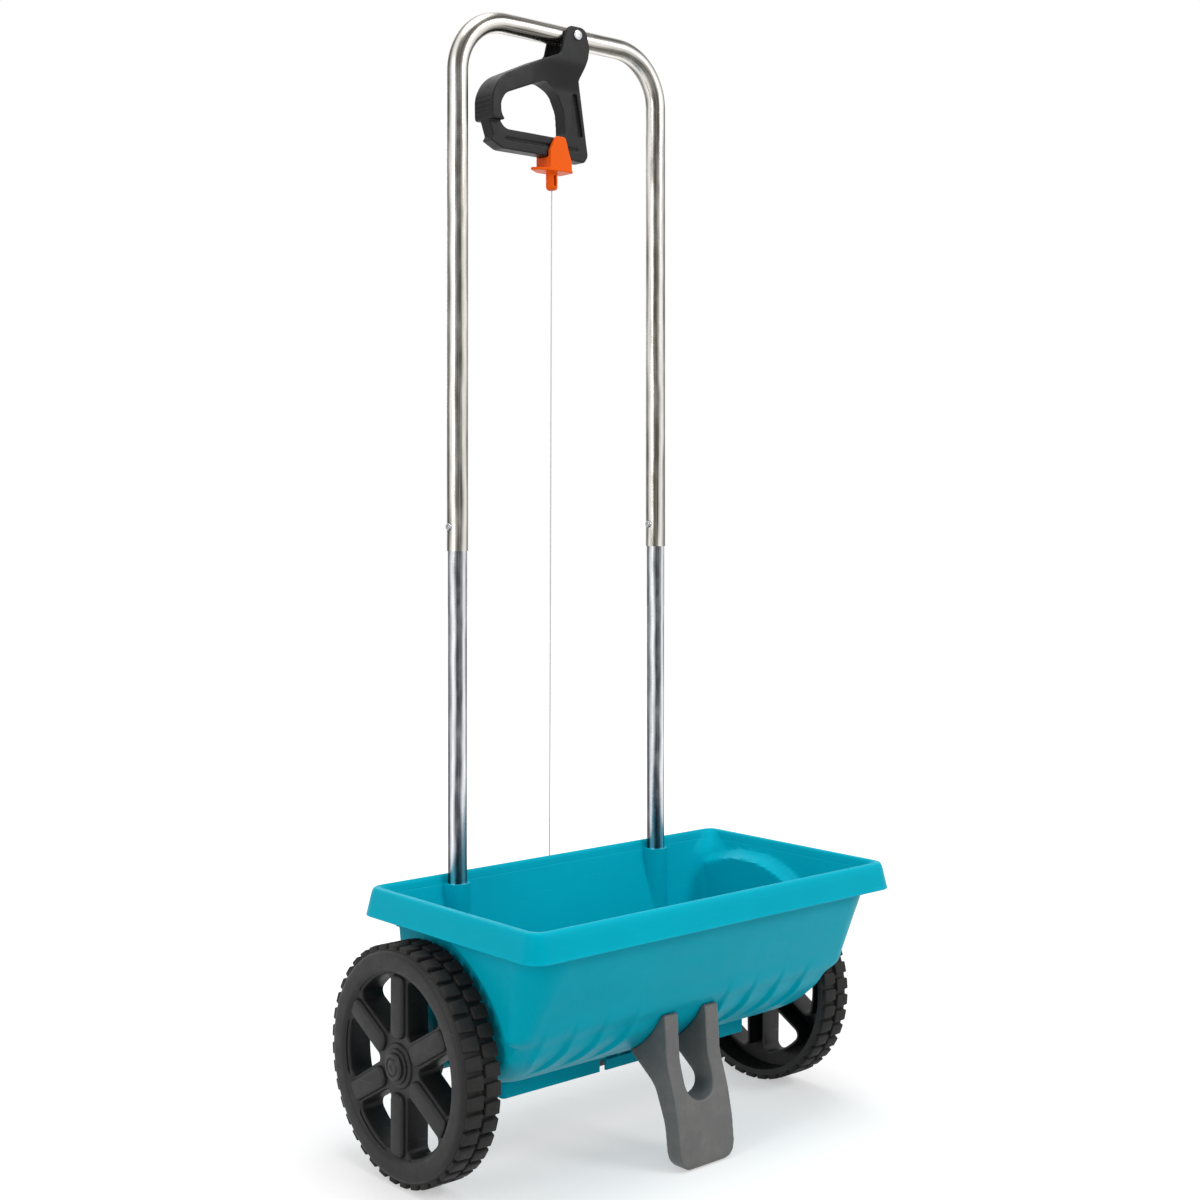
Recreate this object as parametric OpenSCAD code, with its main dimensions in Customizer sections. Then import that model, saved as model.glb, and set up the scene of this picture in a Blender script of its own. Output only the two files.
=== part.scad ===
/* [Hopper] */
// Length of the rim, side to side
hopper_len = 485; // [440:5:560]
// Depth of the rim, front to back
hopper_depth = 267; // [255:1:300]
// Height of the rim above the axle
rim_rise = 157; // [150:1:190]
// Radius of the rim's corners
rim_corner = 14; // [10:1:30]
// Depth of the skirt that hangs from the rim
skirt_drop = 28; // [16:1:34]
// How far the skirt flares outwards at its lower edge
skirt_flare = 6; // [0:0.5:8]
// Wall of the moulded hopper
hopper_wall = 3; // [2.4:0.1:3.4]
// Distance from the tubes' plane back to the rim's back edge
rim_back = 14; // [14:0.5:18]
// Width of one fluting groove of the lower front
flute_w = 5; // [3:0.5:8]
// Height of a flute's ridge above the front wall
flute_h = 1.4; // [0.8:0.1:2]

/* [Frame tubes] */
// Height of the push bar's centre line above the axle
bar_rise = 1046.8; // [900:5:1150]
// Distance between the two uprights, centre to centre
tube_gap = 280; // [260:2:320]
// Outside diameter of the upper, bent tube
upper_d = 22; // [20:0.5:25]
// Wall of both tubes
tube_wall = 0.9; // [0.8:0.1:1.4]
// Radius of the bends, on the tube's centre line
bend_r = 60; // [50:1:66]
// Height of the joint between the tubes above the axle
joint_rise = 490.9; // [440:5:560]
// Length of lower tube inside the upper tube
joint_overlap = 60; // [50:1:80]
// Length of lower tube inside the hopper's socket
socket_depth = 78; // [60:1:80]

/* [Snap buttons] */
// Diameter of a snap button
button_d = 7.8; // [6:0.2:9]
// How far a snap button stands out of the tube
button_proud = 2.5; // [1.5:0.1:3]
// Height of the snap buttons above the tube joint
button_rise = 25; // [18:1:35]

/* [Wheels and axle] */
// Radius of the wheels, over the lugs
wheel_r = 115; // [105:1:119]
// Width of the wheels
wheel_w = 42; // [34:1:46]
// Diameter of the axle
axle_d = 8; // [6:0.5:10]
// Distance from the tubes' plane forward to the axle
axle_forward = 67; // [60:1:72]
// Number of spokes of a wheel
spokes = 6; // [5:1:7]
// Lugs in one row of the tread
lugs = 40; // [30:2:48]

/* [Feed] */
// Radius of the feed roller, over its vanes
roller_r = 30; // [26:1:35]
// Distance between neighbouring drop holes
hole_pitch = 13; // [13:0.5:16]
// Diameter of the drop holes
hole_d = 5.6; // [4:0.1:6]
// Thickness of the sliding shutter
shutter_t = 2.7; // [2:0.1:3]

/* [Stand foot] */
// Width of the foot over both legs
foot_w = 60; // [50:1:70]
// Thickness of one leg
leg_t = 14; // [10:1:17]

/* [Hand lever] */
// Width of the lever over its cheeks
lever_w = 32; // [30:0.5:36]
// Thickness of one cheek
cheek_t = 3; // [2:0.2:3]
// Width of the lower loop that carries the dose slider
loop_w = 16; // [12:0.5:18]
// Diameter of the lever's bolt
bolt_d = 6; // [5:0.5:7]

/* [Pull cord] */
// Diameter of the pull cord
cord_d = 1.6; // [1:0.1:2.2]
// Length of the crank's long arm
crank_arm = 45; // [42:0.5:46]
// Length of the crank's short arm
crank_short = 16; // [15:0.5:17]

/* [Hidden] */
$fn = 48;

// Running clearance of round fits, and the gap between parts that slide on flat faces
run_gap = 0.05;
slide_gap = 0.3;
eps = 0.01;

// Heights above the ground
axle_z = wheel_r;
rim_z = axle_z + rim_rise;
bar_z = axle_z + bar_rise;
joint_z = axle_z + joint_rise;

// Places along Y, from the plane of the tubes, which is Y = 0 until stand_y moves all
axle_y = -axle_forward;
rim_front_y = rim_back - hopper_depth;
back_reach = wheel_r - axle_forward;
stand_y = -(rim_front_y - skirt_flare + back_reach) / 2;

tube_x = tube_gap / 2;
upper_in = upper_d - 2 * tube_wall;
lower_d = upper_in - 0.2;
lower_in = lower_d - 2 * tube_wall;
half_len = hopper_len / 2;

// Drop land under the hopper's floor, which lies close below the feed roller
roller_room = 4;
floor_z = axle_z - roller_r - roller_room;
body_drop = rim_z - floor_z;
land_half_y = 24;
land_half_x = 161;

// Sections of the hopper's body, from the rim down: drop below the rim, then how far
// its side, front and back lie inside the rim, the corner radius, and how much of the
// wall is added under the inside. The front runs back to the land's front edge.
front_run = axle_y - land_half_y - rim_front_y;
levels = [[0,              4.5,              3.5,  3,  rim_corner, 0],
          [skirt_drop,     9,                6.5,  9,  rim_corner, 0],
          [body_drop - 76, 25.5, 0.33 * front_run, 29,  rim_corner + 8, 0],
          [body_drop - 52, 30.5, 0.41 * front_run, 34,  rim_corner + 12, 0.4],
          [body_drop - 30, 39.5, 0.56 * front_run, 40,  rim_corner + 16, 0.8],
          [body_drop - 14, 54.5, 0.76 * front_run, 48,  rim_corner + 16, 1],
          [body_drop,      72.5,        front_run, 60,  20, 1]];
function body_front(z) = lookup(rim_z - z, [for (l = levels) [l[0], rim_front_y + l[2]]]);

// Wheel arches
arch_r = wheel_r + 16;
arch_x = half_len - 27;
wheel_in_x = arch_x + 7.4;
boss_x = arch_x + 0.5;
bush_flange = 2;

// Shutter and rails under the land
land_z = floor_z - 4;
shutter_half_y = 17;
shutter_top = land_z - slide_gap;
shutter_bottom = shutter_top - shutter_t;
rail_bottom = shutter_bottom - slide_gap - 3.4;
hole_count = 2 * floor((land_half_x - 8) / hole_pitch);
function hole_x(i) = (i - (hole_count - 1) / 2) * hole_pitch;
apron_half_x = 168;
apron_y = axle_y - 45;
apron_bottom = rail_bottom + 3;
apron_top = floor_z + 8;

// Crank, shutter pin and cord, all on the hopper's back
crank_half = 11.73;
crank_x = -40;
crank_z = axle_z - 3;
crank_y = 20;
crank_t = 4;
crank_boss_r = 7.6;
crank_shoulder_d = 6;
cord_pin_d = 3;
pin_d = 4;
shutter_stroke = 2 * crank_short * sin(crank_half);
pin_x = crank_x - crank_short * sin(crank_half);
pin_z = crank_z - crank_short * cos(crank_half);
cord_pin_x = crank_x + crank_arm * cos(crank_half);
cord_pin_z = crank_z - crank_arm * sin(crank_half);
link_t = 2;
link_y = crank_y + crank_t + 0.5;

// Lever, bolt and dose slider
bolt_x = 9.5;
bar_gap_y = lever_w / 2 - cheek_t;
spout_x = -13.5;
spout_z = bar_z - 168.8;
swivel_r = 3;
swivel_z = spout_z + 2 + swivel_r + slide_gap;
slider_w = loop_w + 9;
rail_z = bar_z - 134;

// Outline corners are [x, y, rounding radius]
function xy(p) = [p[0], p[1]];
function unit(v) = v / norm(v);
function arc_between(o, p, q, r, steps) =
    let (a0 = atan2(p[1] - o[1], p[0] - o[0]),
         a1 = atan2(q[1] - o[1], q[0] - o[0]),
         turn = (a1 - a0 + 900) % 360 - 180)
    [for (i = [0:steps]) o + r * [cos(a0 + turn * i / steps), sin(a0 + turn * i / steps)]];
function round_corner(a, b, c, r, steps) =
    r <= 0 ? [b] :
    let (u = unit(a - b), v = unit(c - b), half = acos(u * v) / 2)
    arc_between(b + unit(u + v) * r / sin(half), b + u * r / tan(half),
                b + v * r / tan(half), r, steps);
function rounded(pts, steps = 6) =
    let (n = len(pts))
    [for (i = [0:n - 1])
        each round_corner(xy(pts[(i + n - 1) % n]), xy(pts[i]), xy(pts[(i + 1) % n]),
                          pts[i][2], steps)];

// Moves a piece from the tubes' plane to the part's own origin
module stand() {
    translate([0, stand_y, 0]) children();
}

module both_sides() {
    for (side = [-1, 1]) scale([side, 1, 1]) children();
}

// A cylinder along X from x0 to x1
module rod_x(x0, x1, r, y = axle_y, z = axle_z) {
    translate([x0, y, z]) rotate([0, 90, 0]) cylinder(h = x1 - x0, r = r);
}

// A cylinder along Y from y0 to y1
module rod_y(y0, y1, r, x, z) {
    translate([x, y0, z]) rotate([-90, 0, 0]) cylinder(h = y1 - y0, r = r);
}

// An outline drawn in X and Z, extruded along Y from y0 to y1
module plate_y(y0, y1) {
    translate([0, y1, 0]) rotate([90, 0, 0]) linear_extrude(y1 - y0) children();
}

// Thin horizontal section of the hopper: half width, front, back, corner radius
module section(z, hx, front, back, r) {
    translate([0, 0, z]) linear_extrude(eps)
        polygon(rounded([[-hx, front, r], [hx, front, r], [hx, back, r], [-hx, back, r]], 8));
}

// One section of the body, "inset" inside its outer face
module body_section(level, inset, lift) {
    section(rim_z - level[0] + lift, half_len - level[1] - inset,
            rim_front_y + level[2] + inset, rim_back - level[3] - inset,
            max(4, level[4] - inset));
}

module body_outer(grow = 0) {
    hull() for (level = levels) body_section(level, -grow, -grow * level[5]);
}

module body_inner() {
    hull() for (level = levels)
        body_section(level, hopper_wall, level[0] == 0 ? 2 : hopper_wall * level[5]);
}

module rim_section(z, inset, flare) {
    section(z, half_len - inset + flare, rim_front_y + inset - flare,
            rim_back - inset + flare, rim_corner - inset + flare);
}

module rim() {
    difference() {
        hull() {
            rim_section(rim_z, 1.2, 0);
            rim_section(rim_z - 2, 0, 0);
            rim_section(rim_z - skirt_drop, 0, skirt_flare);
        }
        hull() {
            rim_section(rim_z - hopper_wall, hopper_wall, 0);
            rim_section(rim_z - skirt_drop - 2 * eps, hopper_wall, skirt_flare);
        }
    }
}

// Inside of the hopper, which keeps a wall round each wheel arch
module hopper_room() {
    difference() {
        body_inner();
        both_sides() rod_x(arch_x - hopper_wall, half_len, arch_r + hopper_wall);
    }
}

// S-shaped outline of one flute, drawn in X and Z from its lower end
flute_rise = 62;
flute_run = 30;
function flute_mid(t) = [flute_run * t + 9 * sin(360 * t) / 2, flute_rise * t];
function flute_half(t) = flute_w / 2 * sqrt(max(0, sin(180 * t))) + 0.2;
flute_steps = 8;
module flute() {
    polygon(concat(
        [for (i = [0:flute_steps]) flute_mid(i / flute_steps) - [flute_half(i / flute_steps), 0]],
        [for (i = [flute_steps:-1:0]) flute_mid(i / flute_steps) + [flute_half(i / flute_steps), 0]]));
}

// Flutes stand on the lower front wall, clear of the foot
flute_pitch = 37;
module flutes() {
    intersection() {
        plate_y(rim_front_y, axle_y)
            for (i = [-5:4])
                if (i < -1 || i > 0)
                    translate([i * flute_pitch, apron_top]) flute();
        body_outer(flute_h);
    }
}

// Apron that hangs in front of the shutter, notched beside the foot
module apron() {
    difference() {
        translate([-apron_half_x, apron_y, apron_bottom])
            cube([2 * apron_half_x, 20, apron_top - apron_bottom]);
        translate([-apron_half_x + 3, apron_y + 3, apron_bottom - 1])
            cube([2 * apron_half_x - 6, 20, 60]);
        for (side = [-1, 1])
            translate([side * 38 - 4.5, apron_y - 1, apron_bottom - 1]) cube([9, 6, 13]);
        translate([-34, apron_y - 1, apron_bottom + 11]) cube([68, 6, 4]);
    }
    for (x = [-150, -90, -15, 15, 90, 150])
        translate([x - 1.5, apron_y + 2, apron_bottom + 1])
            cube([3, axle_y - land_half_y - slide_gap - apron_y - 2,
                  apron_top - apron_bottom]);
}

rib_t = 4;
bush_len = 22;
bush_r = axle_d / 2 + 4;
boss_wall = 5;
socket_r = lower_d / 2 + 3.4;
socket_top = rim_z - 9;
socket_z = socket_top - socket_depth;
module socket_body() {
    translate([tube_x, 0, socket_z - 4]) {
        cylinder(h = socket_top - socket_z + 4, r = socket_r);
        translate([-socket_r, 0, 0])
            cube([2 * socket_r, rim_back - 0.5, socket_top - socket_z + 4]);
    }
}

screw_z = socket_z + socket_depth / 2;
screw_d = 4;
foot_leg_x = (foot_w - leg_t) / 2;
// Foot screws go in square to the sloping front of the floor
foot_screw_z = floor_z + 35;
foot_screw_tilt = -atan2(levels[4][0] - levels[3][0], levels[4][2] - levels[3][2]);
module foot_screw_axis() {
    for (side = [-1, 1])
        translate([side * foot_leg_x, body_front(foot_screw_z), foot_screw_z])
            rotate([foot_screw_tilt, 0, 0]) children();
}

module hopper() {
    color([0.0, 0.62, 0.72]) stand() difference() {
        union() {
            difference() {
                union() {
                    rim();
                    difference() {
                        union() {
                            body_outer();
                            flutes();
                        }
                        both_sides() rod_x(arch_x, half_len, arch_r);
                    }
                    apron();
                    rod_y(axle_y + 38, crank_y - slide_gap, crank_boss_r, crank_x, crank_z);
                    translate([spring_leg_x - wire_d / 2 - slide_gap - rib_t, axle_y + 30, crank_z - 24])
                        cube([rib_t, crank_y - 6.5 - axle_y - 30, 50]);
                }
                hopper_room();
            }
            both_sides() socket_body();
            both_sides() rod_x(boss_x - bush_len - 2, boss_x, bush_r + boss_wall);
            translate([-land_half_x, axle_y - land_half_y, land_z])
                cube([2 * land_half_x, 2 * land_half_y, 5]);
        }
        both_sides() translate([tube_x, 0, socket_z])
            cylinder(h = rim_z + 1 - socket_z, r = lower_d / 2 + 0.1);
        both_sides() rod_y(0, rim_back + 1, screw_d / 2 + 0.2, tube_x, screw_z);
        both_sides() rod_x(boss_x - bush_len - 3, boss_x + 1, bush_r);
        for (i = [0:hole_count - 1])
            translate([hole_x(i), axle_y, land_z - 1]) cylinder(h = 12, r = hole_d / 2);
        rail_screw_places() cylinder(h = 4, r = 1.2);
        foot_screw_axis() translate([0, 0, -12]) cylinder(h = 24, r = screw_d / 2 + 0.2);
        rod_y(crank_y - 14, crank_y, 2.05, crank_x, crank_z);
    }
}

tongue_half = 8;
lug_half = 4.5;
module shutter() {
    color([0.85, 0.86, 0.86]) stand() difference() {
        union() {
            translate([-land_half_x + 6, axle_y - shutter_half_y, shutter_bottom])
                cube([2 * land_half_x - 12 - shutter_stroke, 2 * shutter_half_y, shutter_t]);
            translate([pin_x - tongue_half, axle_y, shutter_bottom])
                cube([2 * tongue_half, crank_y - 1.5 - axle_y, shutter_t]);
            translate([pin_x - lug_half, crank_y - 4.5, shutter_bottom])
                cube([2 * lug_half, 3, pin_z - shutter_bottom]);
            rod_y(crank_y - 4.5, crank_y - 1.5, lug_half, pin_x, pin_z);
            rod_y(crank_y - 2, crank_y + crank_t + 1, pin_d / 2, pin_x, pin_z);
        }
        for (i = [0:hole_count - 1])
            translate([hole_x(i) - hole_pitch / 2, axle_y, shutter_bottom - 1])
                if (hole_x(i) - hole_pitch / 2 > -land_half_x + 10)
                    cylinder(h = shutter_t + 2, r = hole_d / 2);
    }
}

// Rails that carry the shutter: an L under each edge of the drop land
rail_screw_y = shutter_half_y + (land_half_y - shutter_half_y) / 2;
rail_screw_x = land_half_x - 21;
module rail_screw_places() {
    for (x = [-rail_screw_x, 0, rail_screw_x], side = [-1, 1])
        translate([x, axle_y + side * rail_screw_y, land_z]) children();
}

module shutter_rail() {
    difference() {
        union() {
            translate([-land_half_x, shutter_half_y + slide_gap, rail_bottom])
                cube([2 * land_half_x, land_half_y - shutter_half_y - slide_gap,
                      land_z - rail_bottom]);
            translate([-land_half_x, shutter_half_y - 5, rail_bottom])
                cube([2 * land_half_x, 8, 3.4]);
        }
        for (x = [-rail_screw_x, 0, rail_screw_x])
            translate([x, rail_screw_y, rail_bottom - 1]) {
                cylinder(h = 20, r = 1.65);
                cylinder(h = 3, r = 2.9);
            }
    }
}

module shutter_rail_front() {
    color([0.25, 0.25, 0.26]) stand()
        translate([0, axle_y, 0]) scale([1, -1, 1]) shutter_rail();
}

module shutter_rail_back() {
    color([0.25, 0.25, 0.26]) stand() difference() {
        translate([0, axle_y, 0]) shutter_rail();
        translate([pin_x - tongue_half - 1, axle_y, shutter_bottom - slide_gap])
            cube([2 * tongue_half + 2 + shutter_stroke, 40, 20]);
    }
}

module rail_screws() {
    color([0.75, 0.76, 0.78]) stand() rail_screw_places() {
        translate([0, 0, rail_bottom - land_z]) cylinder(h = 2, r = 2.7);
        translate([0, 0, rail_bottom - land_z + 1]) cylinder(h = 9.5, r = 1.2);
    }
}

// Side view of a leg, drawn in Y and Z: up the front, under the floor and down the back
foot_y = rim_front_y + 51;
foot_out = [[foot_y - 26, 0, 5], [foot_y - 22, 40, 60], [foot_y - 16, 68, 40],
            [foot_y - 4, 104, 40], [foot_y, floor_z + 86, 0], [foot_y + 52, floor_z + 38, 0],
            [foot_y + 59, floor_z + 16, 4], [foot_y + 28, 72, 30], [foot_y + 4, 38, 60],
            [foot_y - 1, 0, 5]];
foot_slot_z = 62;

// A cut through the foot from the front, drawn in X and Z
module foot_front() {
    plate_y(foot_y - 60, foot_y + 100) children();
}

module stand_foot() {
    slot_w = foot_w - 2 * leg_t;
    color([0.43, 0.43, 0.43]) stand() difference() {
        intersection() {
            rotate([90, 0, 90]) translate([0, 0, -foot_w / 2]) linear_extrude(foot_w)
                polygon(rounded(foot_out, 8));
            foot_front() polygon(rounded([[-foot_w / 2, 0, 12], [foot_w / 2, 0, 12],
                                          [foot_w / 2, rim_z, 0], [-foot_w / 2, rim_z, 0]]));
        }
        foot_front() polygon(rounded([[-slot_w / 2, foot_slot_z, 10], [slot_w / 2, foot_slot_z, 10],
                                      [slot_w / 2, rim_z, 0], [-slot_w / 2, rim_z, 0]]));
        body_outer(slide_gap);
        foot_screw_axis() translate([0, 0, -30]) cylinder(h = 40, r = screw_d / 2 - 0.3);
    }
}

module foot_screws() {
    color([0.75, 0.76, 0.78]) stand() foot_screw_axis() {
        translate([0, 0, -18]) cylinder(h = 20 + hopper_wall, r = screw_d / 2 - 0.35);
        translate([0, 0, hopper_wall + 0.9]) cylinder(h = 2.6, r = screw_d);
    }
}

module quarter_bend(r) {
    translate([tube_x - bend_r, 0, bar_z - bend_r]) rotate([90, 0, 0])
        rotate_extrude(angle = 90, $fn = 96) translate([bend_r, 0]) circle(r = r);
}

module bent_rod(r, below) {
    both_sides() {
        translate([tube_x, 0, joint_z - below])
            cylinder(h = bar_z - bend_r - joint_z + below, r = r);
        quarter_bend(r);
    }
    translate([bend_r - tube_x, 0, bar_z]) rotate([0, 90, 0])
        cylinder(h = tube_gap - 2 * bend_r, r = r);
}

button_z = joint_z + button_rise;
module button_holes() {
    for (side = [-1, 1])
        translate([side * tube_x - upper_d, 0, button_z]) rotate([0, 90, 0])
            cylinder(h = upper_d, r = button_d / 2 + 0.2);
}

module upper_tube() {
    color([0.72, 0.70, 0.66]) stand() difference() {
        bent_rod(upper_d / 2, 0);
        bent_rod(upper_in / 2, 1);
        button_holes();
        rod_y(-upper_d, upper_d, bolt_d / 2 + 0.1, bolt_x, bar_z);
    }
}

module lower_tube(side) {
    color([0.70, 0.69, 0.67]) stand() difference() {
        translate([side * tube_x, 0, socket_z])
            cylinder(h = joint_z + joint_overlap - socket_z, r = lower_d / 2);
        translate([side * tube_x, 0, socket_z - 1])
            cylinder(h = joint_z + joint_overlap - socket_z + 2, r = lower_in / 2);
        button_holes();
        rod_y(0, lower_d, screw_d / 2 + 0.2, side * tube_x, screw_z);
    }
}

module lower_tube_left() { lower_tube(-1); }

module lower_tube_right() { lower_tube(1); }

module socket_screws() {
    color([0.75, 0.76, 0.78]) stand() both_sides() {
        rod_y(lower_in / 2 - 4, rim_back, screw_d / 2, tube_x, screw_z);
        rod_y(rim_back - 0.5 + eps, rim_back + 2, screw_d, tube_x, screw_z);
    }
}

// Snap button: a domed pin with a flat base inside the lower tube
button_base = 1.2;
button_seat = 5.6;
module snap_button(side) {
    color([0.80, 0.80, 0.82]) stand()
        translate([side * tube_x, 0, button_z]) rotate([0, -90, 0]) {
            translate([0, 0, button_seat]) cylinder(h = button_base, r = button_d / 2 + 1.4);
            translate([0, 0, button_seat])
                cylinder(h = upper_d / 2 + button_proud - 1 - button_seat, r = button_d / 2);
            translate([0, 0, upper_d / 2 + button_proud - 1])
                cylinder(h = 1, r1 = button_d / 2, r2 = button_d / 2 - 1);
        }
}

module snap_button_left() { snap_button(-1); }

module snap_button_right() { snap_button(1); }

// Leaf of the snap button, folded in a V inside the tube
leaf_w = 7;
leaf_t = 0.6;
module snap_spring(side) {
    color([0.62, 0.63, 0.66]) stand()
        translate([side * tube_x, 0, button_z]) plate_y(-leaf_w / 2, leaf_w / 2)
            polygon([[-button_seat, 8], [-button_seat, -14], [-button_seat + 3, -26],
                     [-button_seat + 5, -26], [3.4, -4], [3.4, 12], [3.4 - leaf_t, 12],
                     [3.4 - leaf_t, -3.8], [-button_seat + 4.6, -24.8],
                     [-button_seat + 3.5, -24.8], [-button_seat + leaf_t, -13.8],
                     [-button_seat + leaf_t, 8]]);
}

module snap_spring_left() { snap_spring(-1); }

module snap_spring_right() { snap_spring(1); }

wheel_out_x = wheel_in_x + wheel_w;
axle_end = wheel_out_x + 1;
drive_pin_x = wheel_in_x + 9;
module axle() {
    color([0.66, 0.67, 0.70]) stand() difference() {
        rod_x(-axle_end, axle_end, axle_d / 2);
        translate([-drive_pin_x, axle_y, axle_z - axle_d])
            cylinder(h = 2 * axle_d, r = 1.55);
    }
}

// Feed roller: rows of vanes, each row turned a little from the last, with discs between
vanes = 6;
vane_t = 3;
roller_rows = 5;
roller_half = 158;
roller_hub_r = axle_d / 2 + 6;
disc_t = 2.4;
module feed_roller() {
    row_len = 2 * roller_half / roller_rows;
    color([0.16, 0.16, 0.17]) stand() difference() {
        union() {
            rod_x(-roller_half, roller_half, roller_hub_r);
            for (row = [0:roller_rows - 1], vane = [0:vanes - 1])
                translate([-roller_half + row * row_len, axle_y, axle_z])
                    rotate([(vane + row / roller_rows) * 360 / vanes, 0, 0])
                        translate([disc_t / 2 - 0.2, -vane_t / 2, roller_hub_r - 2])
                            cube([row_len - disc_t + 0.4, vane_t, roller_r - roller_hub_r + 2]);
            for (row = [0:roller_rows]) {
                x = -roller_half + row * row_len;
                rod_x(max(x - disc_t / 2, -roller_half + 0.4), min(x + disc_t / 2, roller_half - 0.4),
                      roller_r - 1.5);
            }
        }
        rod_x(-roller_half - 1, roller_half + 1, axle_d / 2 + run_gap);
    }
}

module axle_bushes() {
    color([0.90, 0.90, 0.88]) stand() both_sides() difference() {
        union() {
            rod_x(boss_x - bush_len, boss_x, bush_r - run_gap);
            rod_x(boss_x, boss_x + bush_flange, bush_r + 4);
        }
        rod_x(boss_x - bush_len - 1, boss_x + bush_flange + 1, axle_d / 2 + run_gap);
    }
}

module axle_washers() {
    washer_x = boss_x + bush_flange + slide_gap;
    color([0.75, 0.76, 0.78]) stand() both_sides() difference() {
        rod_x(washer_x, washer_x + 1.5, bush_r);
        rod_x(washer_x - 1, washer_x + 3, axle_d / 2 + 0.1);
    }
}

// Wheel, drawn along Z: inner face at 0, outer face at wheel_w
spoke_half = 13;
lug_h = 3;
tread_r = wheel_r - lug_h;
face_r = wheel_r - 7;
window_r = wheel_r - 29;
plate_z = wheel_w - 10;
plate_t = 5;
well_wall = 2.6;
well_z = wheel_w - 30;
function at_spoke(i) = [0, 0, i * 360 / spokes];

// Outline of one window between two spokes, or of the well round it, grown by "grow"
module window_shape(grow) {
    reach = window_r + grow;
    half = 180 / spokes - asin((spoke_half - grow) / reach);
    polygon(rounded([[(spoke_half - grow) / sin(180 / spokes) + 2, 0, 5 + grow],
                     [reach * cos(half), -reach * sin(half), 7 + grow],
                     [reach + 2, 0, reach],
                     [reach * cos(half), reach * sin(half), 7 + grow]]));
}

// Lugs of the tread: two rows, the outer one turned by half a pitch
module wheel_lugs() {
    lug_w = 2 * 3.1416 * wheel_r / lugs * 0.55;
    for (i = [0:lugs - 1], row = [0, 1])
        rotate([0, 0, (i + row / 2) * 360 / lugs])
            translate([tread_r - 2, -lug_w / 2, 2 + row * (wheel_w / 2)])
                cube([lug_h + 2, lug_w, wheel_w / 2 - 4]);
}

module wheel_rim() {
    rotate_extrude($fn = 96) polygon([[tread_r - 8, 1], [tread_r - 1.5, 1],
        [tread_r, 2.5], [tread_r, wheel_w - 3.5], [tread_r - 1.5, wheel_w - 2],
        [face_r, wheel_w - 2], [face_r - 2, wheel_w], [window_r + 3, wheel_w],
        [window_r + 1, wheel_w - 2], [window_r + 1, plate_z],
        [tread_r - 8, plate_z - 4]]);
}

// Raised bar on a spoke: a broad base and a narrower crown
module spoke_bar() {
    bar_in = 24;
    bar_out = window_r - 1;
    translate([0, 0, plate_z + plate_t - 1]) linear_extrude(3.4)
        polygon(rounded([[bar_in, -10, 6], [bar_out, -8.6, 5], [bar_out, 8.6, 5],
                         [bar_in, 10, 6]]));
    translate([0, 0, plate_z + plate_t + 1]) linear_extrude(2.8)
        polygon(rounded([[bar_in + 1.4, -8.6, 5], [bar_out - 1.4, -7.2, 4],
                         [bar_out - 1.4, 7.2, 4], [bar_in + 1.4, 8.6, 5]]));
}

module wheel_solid() {
    difference() {
        union() {
            wheel_rim();
            translate([0, 0, plate_z]) cylinder(h = plate_t, r = window_r + 4);
            for (i = [0:spokes - 1]) rotate(at_spoke(i + 0.5))
                translate([0, 0, well_z]) linear_extrude(plate_z + 1 - well_z)
                    window_shape(well_wall);
            for (i = [0:spokes - 1]) rotate(at_spoke(i)) spoke_bar();
            cylinder(h = wheel_w - 3, r = 22);
            cylinder(h = wheel_w - 1.5, r = 16);
            wheel_lugs();
        }
        for (i = [0:spokes - 1]) rotate(at_spoke(i + 0.5))
            translate([0, 0, well_z - 1]) linear_extrude(wheel_w) window_shape(0);
        translate([0, 0, -1]) cylinder(h = wheel_w + 2, r = axle_d / 2 + run_gap);
    }
}

// Stands a wheel on its axle: left wheel for side -1, right wheel for side 1
module on_axle(side) {
    translate([side * wheel_in_x, axle_y, axle_z]) rotate([0, side * 90, 0]) children();
}

module wheel_left() {
    color([0.20, 0.20, 0.20]) stand() difference() {
        on_axle(-1) wheel_solid();
        drive_slot();
    }
}

// Slot across the left wheel's hub that the drive pin turns
module drive_slot() {
    translate([-drive_pin_x - 1.8, axle_y - 1.8, axle_z - 14]) cube([3.6, 3.6, 28]);
    translate([-drive_pin_x, axle_y - 1.8, axle_z - 14]) cube([12, 3.6, 28]);
}

module wheel_right() {
    color([0.20, 0.20, 0.20]) stand() on_axle(1) wheel_solid();
}

module hub_cap(side) {
    color([0.17, 0.17, 0.17]) stand() on_axle(side) translate([0, 0, wheel_w - 1.4])
        rotate_extrude($fn = 64) polygon([[axle_d / 2 + run_gap, 0], [13, 0], [13, 2],
            [12, 3.4], [8, 4.6], [0, 5], [0, 2.6], [axle_d / 2 + run_gap, 2.6]]);
}

module hub_cap_left() { hub_cap(-1); }

module hub_cap_right() { hub_cap(1); }

module drive_pin() {
    color([0.75, 0.76, 0.78]) stand()
        translate([-drive_pin_x, axle_y, axle_z - 13]) cylinder(h = 26, r = 1.5);
}

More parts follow.
